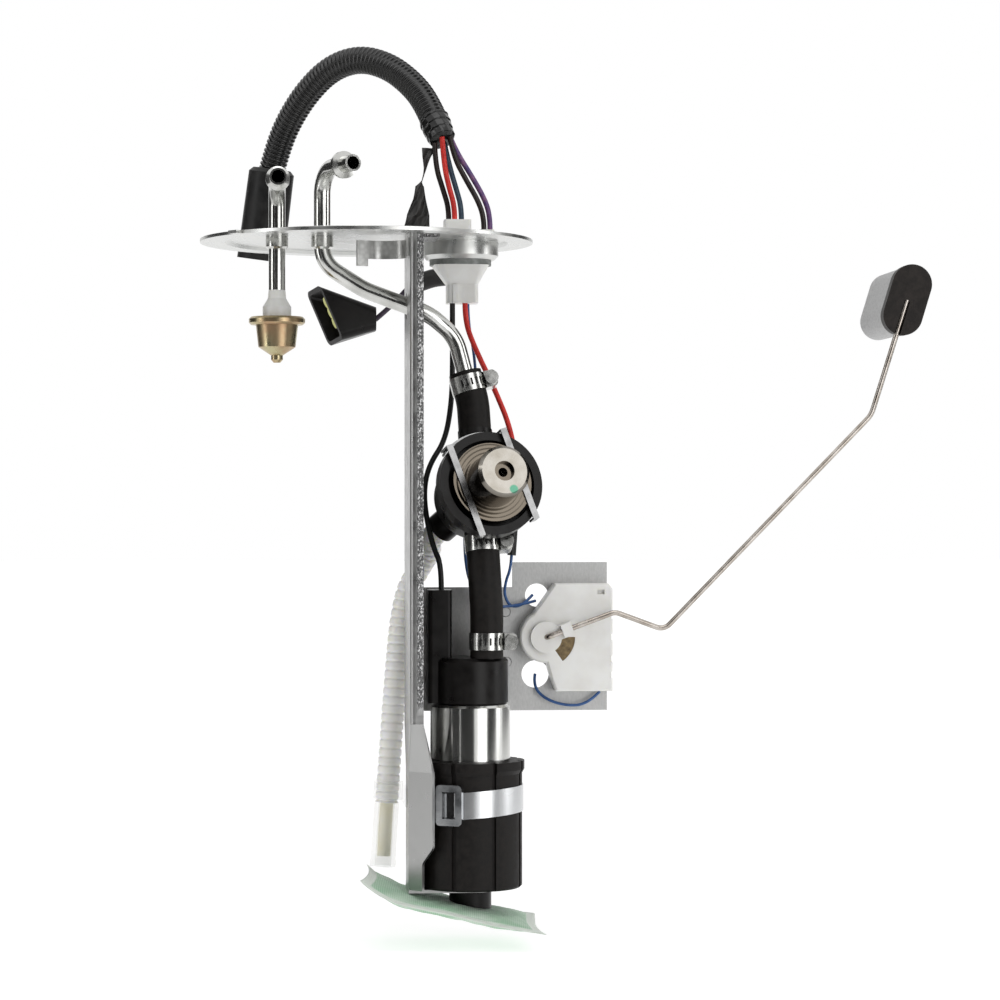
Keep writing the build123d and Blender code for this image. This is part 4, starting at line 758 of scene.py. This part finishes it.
cap_brown = new_coat("cap_brown", (0.012, 0.009, 0.008), 0.5, gloss=0.2)
tint(cap_brown, cloud(cap_brown, 300), (0.008, 0.006, 0.005), (0.018, 0.014, 0.012))
relief(cap_brown, cloud(cap_brown, 1200), 0.0001, 0.5)
coat_nodes(cap_brown, "float_cap")


# The inner leads, from the terminal body down to the pump and the sender. Each is stranded
# copper in a thin coloured jacket, free between its two ends.
def jacket(name, dark, light):
    coat = new_coat(name, light, 0.35, gloss=0.3)
    tint(coat, cloud(coat, 250), dark, light)
    relief(coat, cloud(coat, 1500), 0.00004, 0.3)
    return coat


def read_line(piece):
    """The points along a bare line."""
    drawn = piece.evaluated_get(bpy.context.evaluated_depsgraph_get())
    bare = bpy.data.meshes.new_from_object(drawn)
    points = [v.co.copy() for v in bare.vertices]
    bpy.data.meshes.remove(bare)
    return points


def run_length(path):
    return sum((b - a).length for a, b in zip(path, path[1:]))


def lay_lead(name, points, thick, coat, stands_for):
    """A free lead along its route, from its exit to its far end."""
    lead = route_line(name, points)
    length = run_length(read_line(lead))
    round_out(lead, thick / 2000, 5, coat)
    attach(lead, "module")
    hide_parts(stands_for)


red_jacket = jacket("red_jacket", (0.50, 0.022, 0.018), (0.66, 0.04, 0.03))
black_jacket = jacket("black_jacket", (0.006, 0.006, 0.006), (0.012, 0.012, 0.012))
blue_jacket = jacket("blue_jacket", (0.025, 0.07, 0.20), (0.05, 0.12, 0.30))
power_thick, signal_thick = 2.6, 1.4
socket_low = -28.0
lay_lead("pump_lead_red",
         [(48.0, 6.0, socket_low), (48.0, 6.0, -37.0), (52.5, 2.0, -50.0), (61.0, -5.0, -69.0),
          (69.0, -12.0, -90.0), (71.5, -15.0, -112.0), (69.5, -17.0, -137.0)],
         power_thick, red_jacket, "wire_red")
lay_lead("pump_lead_black",
         [(42.0, 8.0, socket_low), (42.0, 8.0, -37.0), (41.5, 0.0, -56.0), (40.5, -9.0, -76.0),
          (37.0, -14.0, -95.0), (29.5, -17.0, -106.0), (26.5, -19.0, -117.0),
          (27.0, -22.0, -130.0), (30.5, -25.0, -146.0), (34.2, -27.0, -154.0),
          (34.2, -27.0, -166.0)],
         power_thick, black_jacket, "wire_black")

# The splice: a black heat-shrunk sleeve that joins the red lead to the thin blue one of the
# sender. The other thin blue leads run to the sender's earth and across its plate.
splice_line = route_line("lead_splice", [(69.5, -17.0, -137.0), (69.2, -17.3, -141.0),
                                         (68.8, -17.8, -146.0), (68.5, -18.0, -149.9)])
round_out(splice_line, 0.0021, 5, black_jacket)
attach(splice_line, "module")

lay_lead("sender_lead",
         [(68.47, -18.03, -149.92), (67.95, -18.55, -156.38), (66.0, -15.5, -162.0),
          (65.2, -13.5, -169.0), (68.6, -11.6, -175.0), (75.0, -9.4, -174.0),
          (79.8, -4.1, -169.4)],
         signal_thick, blue_jacket, "wires_blue")
lay_lead("sender_earth",
         [(50.0, 13.0, socket_low), (50.0, 13.0, -37.0), (53.0, 5.0, -56.0), (52.5, -6.0, -78.0),
          (50.0, -10.0, -100.0), (47.4, -11.4, -124.0), (46.0, -12.0, -148.0),
          (49.0, -14.0, -166.0), (60.0, -14.0, -175.0), (73.0, -12.0, -174.0),
          (81.2, -4.1, -172.2)],
         signal_thick, blue_jacket, "wires_blue")
lay_lead("sender_jumper",
         [(81.1, -4.1, -207.5), (80.0, -6.5, -213.0), (85.0, -9.0, -219.0),
          (95.0, -10.0, -222.5), (106.0, -9.4, -222.0), (112.0, -8.5, -215.8)],
         signal_thick, blue_jacket, "wires_blue")

# The outer harness: leads from the towers gather under tape into a black ribbed conduit, which
# arches over the plate to a rubber boot.
boot_rubber = new_coat("boot_rubber", (0.014, 0.014, 0.014), 0.46, gloss=0.25)
boot_dust = cloud(boot_rubber, 120)
tint(boot_rubber, boot_dust, (0.009, 0.009, 0.009), (0.020, 0.0195, 0.019))
dull(boot_rubber, boot_dust, 0.38, 0.56)
relief(boot_rubber, cloud(boot_rubber, 900), 0.00006, 0.4)
coat_nodes(boot_rubber, "harness_boot")

conduit_black = new_coat("conduit_black", (0.007, 0.007, 0.007), 0.24, gloss=0.45)
conduit_dust = cloud(conduit_black, 60)
tint(conduit_black, conduit_dust, (0.005, 0.005, 0.005), (0.012, 0.0115, 0.011))
dull(conduit_black, conduit_dust, 0.18, 0.30)
conduit_route = [(33.5, 14.0, 61.5), (30.0, 21.0, 71.5), (23.0, 30.0, 82.0), (12.5, 39.5, 91.5),
                 (-1.0, 49.0, 96.5), (-15.0, 58.5, 93.0), (-27.0, 68.0, 82.0),
                 (-36.5, 76.5, 67.5), (-42.0, 83.0, 53.5), (-45.0, 87.2, 42.0)]
conduit_line = route_line("conduit_route", conduit_route)
conduit_path = read_line(conduit_line)
conduit = grow("ribbed_conduit", conduit_line, ribbed_tree(conduit_black),
               {"Radius": 0.0068, "Rib Depth": 0.0009, "Rib Pitch": 0.0023,
                "Groove Floor": -0.7, "Groove Edge": 0.5})
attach(conduit, "module")
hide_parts("harness_conduit")

# The tape that closes the conduit's end round the leads: glossy black, wound in lapped turns
# that narrow towards the leads and crease as they do.
tape_black = new_coat("wrap_tape", (0.006, 0.006, 0.006), 0.2, gloss=0.4)
tape_cloud = cloud(tape_black, 300)
tint(tape_black, tape_cloud, (0.004, 0.004, 0.004), (0.010, 0.010, 0.010))
dull(tape_black, tape_cloud, 0.12, 0.30)
tape_start = Vector(conduit_route[0]) / 1000
tape_run = Vector((3.58312, -7.166243, -10.23749)) / 1000
tape_side = tape_run.cross(Vector((0, 1, 0))).normalized()
tape_rise = tape_side.cross(tape_run).normalized()
wrap_radius, wrap_taper, lap_height, lap_count, crease_height = 7.15, 1.2, 0.45, 3.2, 0.45
laps, turns = 40, 64
wrap = bmesh.new()
wraps = []
for i in range(laps + 1):
    share = i / laps
    hoop = []
    for j in range(turns):
        angle = 2 * pi * j / turns
        lap = (share * lap_count + j / turns) % 1
        crease = 0.35 * sin(5 * angle + 9 * share) * share + 0.2 * sin(13 * angle - 6 * share)
        radius = wrap_radius - wrap_taper * share ** 2 + lap_height * lap + crease_height * crease
        out = tape_side * cos(angle) + tape_rise * sin(angle)
        hoop.append(wrap.verts.new(tape_start + tape_run * share + out * (radius / 1000)))
    wraps.append(hoop)
for lower, upper in zip(wraps, wraps[1:]):
    for j in range(turns):
        wrap.faces.new((lower[j], lower[(j + 1) % turns], upper[(j + 1) % turns], upper[j]))
for hoop, place in ((wraps[0], tape_start), (wraps[-1], tape_start + tape_run)):
    hub = wrap.verts.new(place)
    for j in range(turns):
        wrap.faces.new((hub, hoop[j], hoop[(j + 1) % turns]))
bmesh.ops.recalc_face_normals(wrap, faces=wrap.faces)
tape_mesh = from_bench("tape_wrap", wrap, soft=True)
tape_mesh.materials.append(tape_black)
tape = set_out("tape_wrap", tape_mesh)
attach(tape, "module")
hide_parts("harness_tape")

# The loose end of the tape, hanging to the left: twisted thin below the wrap and then flared into
# a stiff, scuffed little flag. Each row of its line is place, half width and twist.
tail_line = [(30.6, 9.0, 47.5, 3.6, 20), (29.4, 8.0, 43.0, 2.6, 30), (28.7, 7.4, 37.5, 1.5, 65),
             (27.2, 7.2, 31.5, 0.9, 80), (26.0, 7.4, 28.5, 2.4, 35), (26.0, 7.8, 22.0, 3.6, 15),
             (25.3, 8.2, 14.5, 5.4, 8), (24.7, 8.4, 8.6, 6.5, 4)]
tail_rows, tail_ribs, half_tape, fold_share = 56, 16, 0.07, 0.5 * 0.35
tail = bmesh.new()
tail_grid = {}
for i in range(tail_rows + 1):
    run = i / tail_rows * (len(tail_line) - 1)
    knot = min(int(run), len(tail_line) - 2)
    ease = run - knot
    ease = ease * ease * (3 - 2 * ease)
    x, y, z, half, twist = (a + (b - a) * ease
                            for a, b in zip(tail_line[knot], tail_line[knot + 1]))
    flat = Vector((cos(radians(twist)), sin(radians(twist)), 0))
    deep = Vector((-flat.y, flat.x, 0))
    for j in range(tail_ribs + 1):
        across = 2 * j / tail_ribs - 1
        fold = fold_share * half * sin(4.5 * across + 0.4 * i) * (0.4 + i / tail_rows)
        middle = Vector((x, y, z)) + flat * half * across + deep * fold
        rim = i in (0, tail_rows) or j in (0, tail_ribs)
        for side in (1, -1):
            if rim and side == -1:
                tail_grid[i, j, side] = tail_grid[i, j, 1]
            else:
                shift = Vector() if rim else deep * (half_tape * side)
                tail_grid[i, j, side] = tail.verts.new((middle + shift) / 1000)
sew_layers(tail, tail_grid, tail_rows, tail_ribs)
bmesh.ops.recalc_face_normals(tail, faces=tail.faces)
tail_area = sum(face.calc_area() for face in tail.faces) / 2
tail_mesh = from_bench("tape_tail", tail, soft=True)
worn_tape = new_coat("worn_tape", (0.02, 0.02, 0.019), 0.4, gloss=0.3)
tape_scuff = cloud(worn_tape, 260, (1, 1, 0.3))
tint(worn_tape, tape_scuff, (0.008, 0.008, 0.008), (0.060, 0.058, 0.055))
dull(worn_tape, tape_scuff, 0.28, 0.5)
tail_mesh.materials.append(worn_tape)
tape_tail = set_out("tape_tail", tail_mesh)
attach(tape_tail, "module")

# The outer leads: five from the two towers up to the tape, each jacketed in its own colour, and
# three dark ones that go on from the boot, loop round behind the plate and end in the plug.
slate_jacket = jacket("slate_jacket", (0.030, 0.055, 0.085), (0.05, 0.085, 0.12))
violet_jacket = jacket("violet_jacket", (0.07, 0.045, 0.16), (0.22, 0.10, 0.20))
brown_jacket = jacket("brown_jacket", (0.014, 0.010, 0.009), (0.026, 0.019, 0.017))
plum_jacket = jacket("plum_jacket", (0.025, 0.018, 0.03), (0.05, 0.036, 0.06))
tower_top, low_tower_top = 12.6, 8.0
lay_lead("outer_lead_red",
         [(43.0, 7.0, tower_top), (43.0, 7.0, 19.0), (40.3, 6.5, 28.0), (37.8, 6.0, 39.0),
          (36.7, 4.8, 52.55)],
         power_thick, red_jacket, "harness_wire_red")
for name, points, coat in (
    ("outer_lead_black",
     [(40.4, 11.0, tower_top), (40.4, 11.0, 18.5), (37.8, 10.6, 27.0), (33.8, 9.6, 39.0),
      (33.24, 6.69, 50.02)], brown_jacket),
    ("outer_lead_slate",
     [(46.6, 11.0, tower_top), (46.6, 11.0, 19.0), (44.0, 10.6, 28.0), (40.6, 9.6, 39.0),
      (38.24, 9.48, 49.81)], slate_jacket),
    ("outer_lead_short",
     [(57.4, 8.6, low_tower_top), (57.4, 8.6, 13.5), (54.8, 8.2, 21.5), (48.6, 7.6, 32.0),
      (42.6, 6.6, 43.0), (40.54, 6.09, 52.99)], brown_jacket),
    ("outer_lead_violet",
     [(60.6, 11.4, low_tower_top), (60.6, 11.4, 15.0), (57.8, 11.0, 23.5), (51.0, 10.2, 35.0),
      (44.4, 9.0, 45.0), (41.5, 8.71, 51.5)], violet_jacket),
):
    lay_lead(name, points, power_thick, coat, "harness_wires_dark")

pigtail_route = [(-38.0, 91.0, 6.0), (-20.0, 92.0, 8.0), (4.0, 92.0, 9.0), (26.0, 92.0, 9.5),
                 (40.0, 92.0, 9.4), (50.7, 92.0, 9.1), (55.9, 92.0, 4.0), (55.9, 92.0, -3.4),
                 (50.7, 92.0, -8.6), (40.5, 92.0, -9.0), (27.0, 92.0, -12.5),
                 (18.0, 92.0, -23.0)]
plug_back, lead_gap, plug_gap = (8.6, 92.0, -31.0), 2.86, 3.6
for i, name in ((-1, "plug_lead_front"), (0, "plug_lead_middle"), (1, "plug_lead_rear")):
    points = [(x, y + lead_gap * i, z) for x, y, z in pigtail_route]
    points.append((plug_back[0], plug_back[1] + plug_gap * i, plug_back[2]))
    lay_lead(name, points, power_thick, plum_jacket, "harness_wires_dark")

# The sleeve that gathers the three plug leads where they come back from their loop.
# It is black rubber, shrunk on, and takes the pull off the plug.
lead_sleeve = route_line("lead_sleeve", [(45.0, 92.0, -8.8), (40.5, 92.0, -9.2),
                                         (36.0, 92.0, -10.2), (31.5, 92.0, -11.9)])
round_out(lead_sleeve, 0.0047, 6, boot_rubber)
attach(lead_sleeve, "module")

# The vehicle plug's seal: soft yellow-green silicone, pushed into the mouth of the black shell.
# It wipes the mating half as the plug closes.
seal_lime = new_coat("seal_lime", (0.58, 0.58, 0.18), 0.45)
tint(seal_lime, cloud(seal_lime, 300), (0.50, 0.50, 0.14), (0.66, 0.66, 0.26))
coat_nodes(seal_lime, "vehicle_connector_seal")

# The seal's outer lip: three soft lobes, moulded with the seal, that stand on the near wall
# just inside the mouth.
lip_rows, lip_half, lip_thick, wall_in = 36, 8.4, 3.8, -8.7
lip_front, lip_round, lip_back, lip_root = 0.1, 0.6, 2.4, 2.6
lip = bmesh.new()
lip_rings = []
for i in range(lip_rows + 1):
    lobe = 0.45 + 0.55 * abs(sin(3 * pi * i / lip_rows)) ** 0.5
    high = lip_half * (2 * i / lip_rows - 1)
    crest = wall_in + lip_thick * lobe
    lip_rings.append([lip.verts.new((x, high, z)) for x, z in (
        (wall_in, lip_front), (wall_in + lip_thick * lobe * 0.8, lip_front), (crest, lip_round),
        (crest, lip_back), (wall_in, lip_root))])
for lower, upper in zip(lip_rings, lip_rings[1:]):
    for j in range(len(lower)):
        lip.faces.new((lower[j], lower[j - 1], upper[j - 1], upper[j]))
lip.faces.new(lip_rings[0])
lip.faces.new(lip_rings[-1])
bmesh.ops.recalc_face_normals(lip, faces=lip.faces)
lip_mesh = from_bench("seal_lip", lip)
mouth_place = (-0.0175, 0.090, -0.0295)
mouth_turn = Matrix(((-0.2972, 0.9463, -0.1270), (-0.3929, 0.0, 0.9195),
                     (0.8702, 0.3232, 0.3718))).transposed().to_4x4()
lip_mesh.transform(Matrix.Translation(mouth_place) @ mouth_turn @ Matrix.Scale(0.001, 4))
lip_mesh.materials.append(seal_lime)
seal_lip = set_out("seal_lip", lip_mesh)
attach(seal_lip, "module")
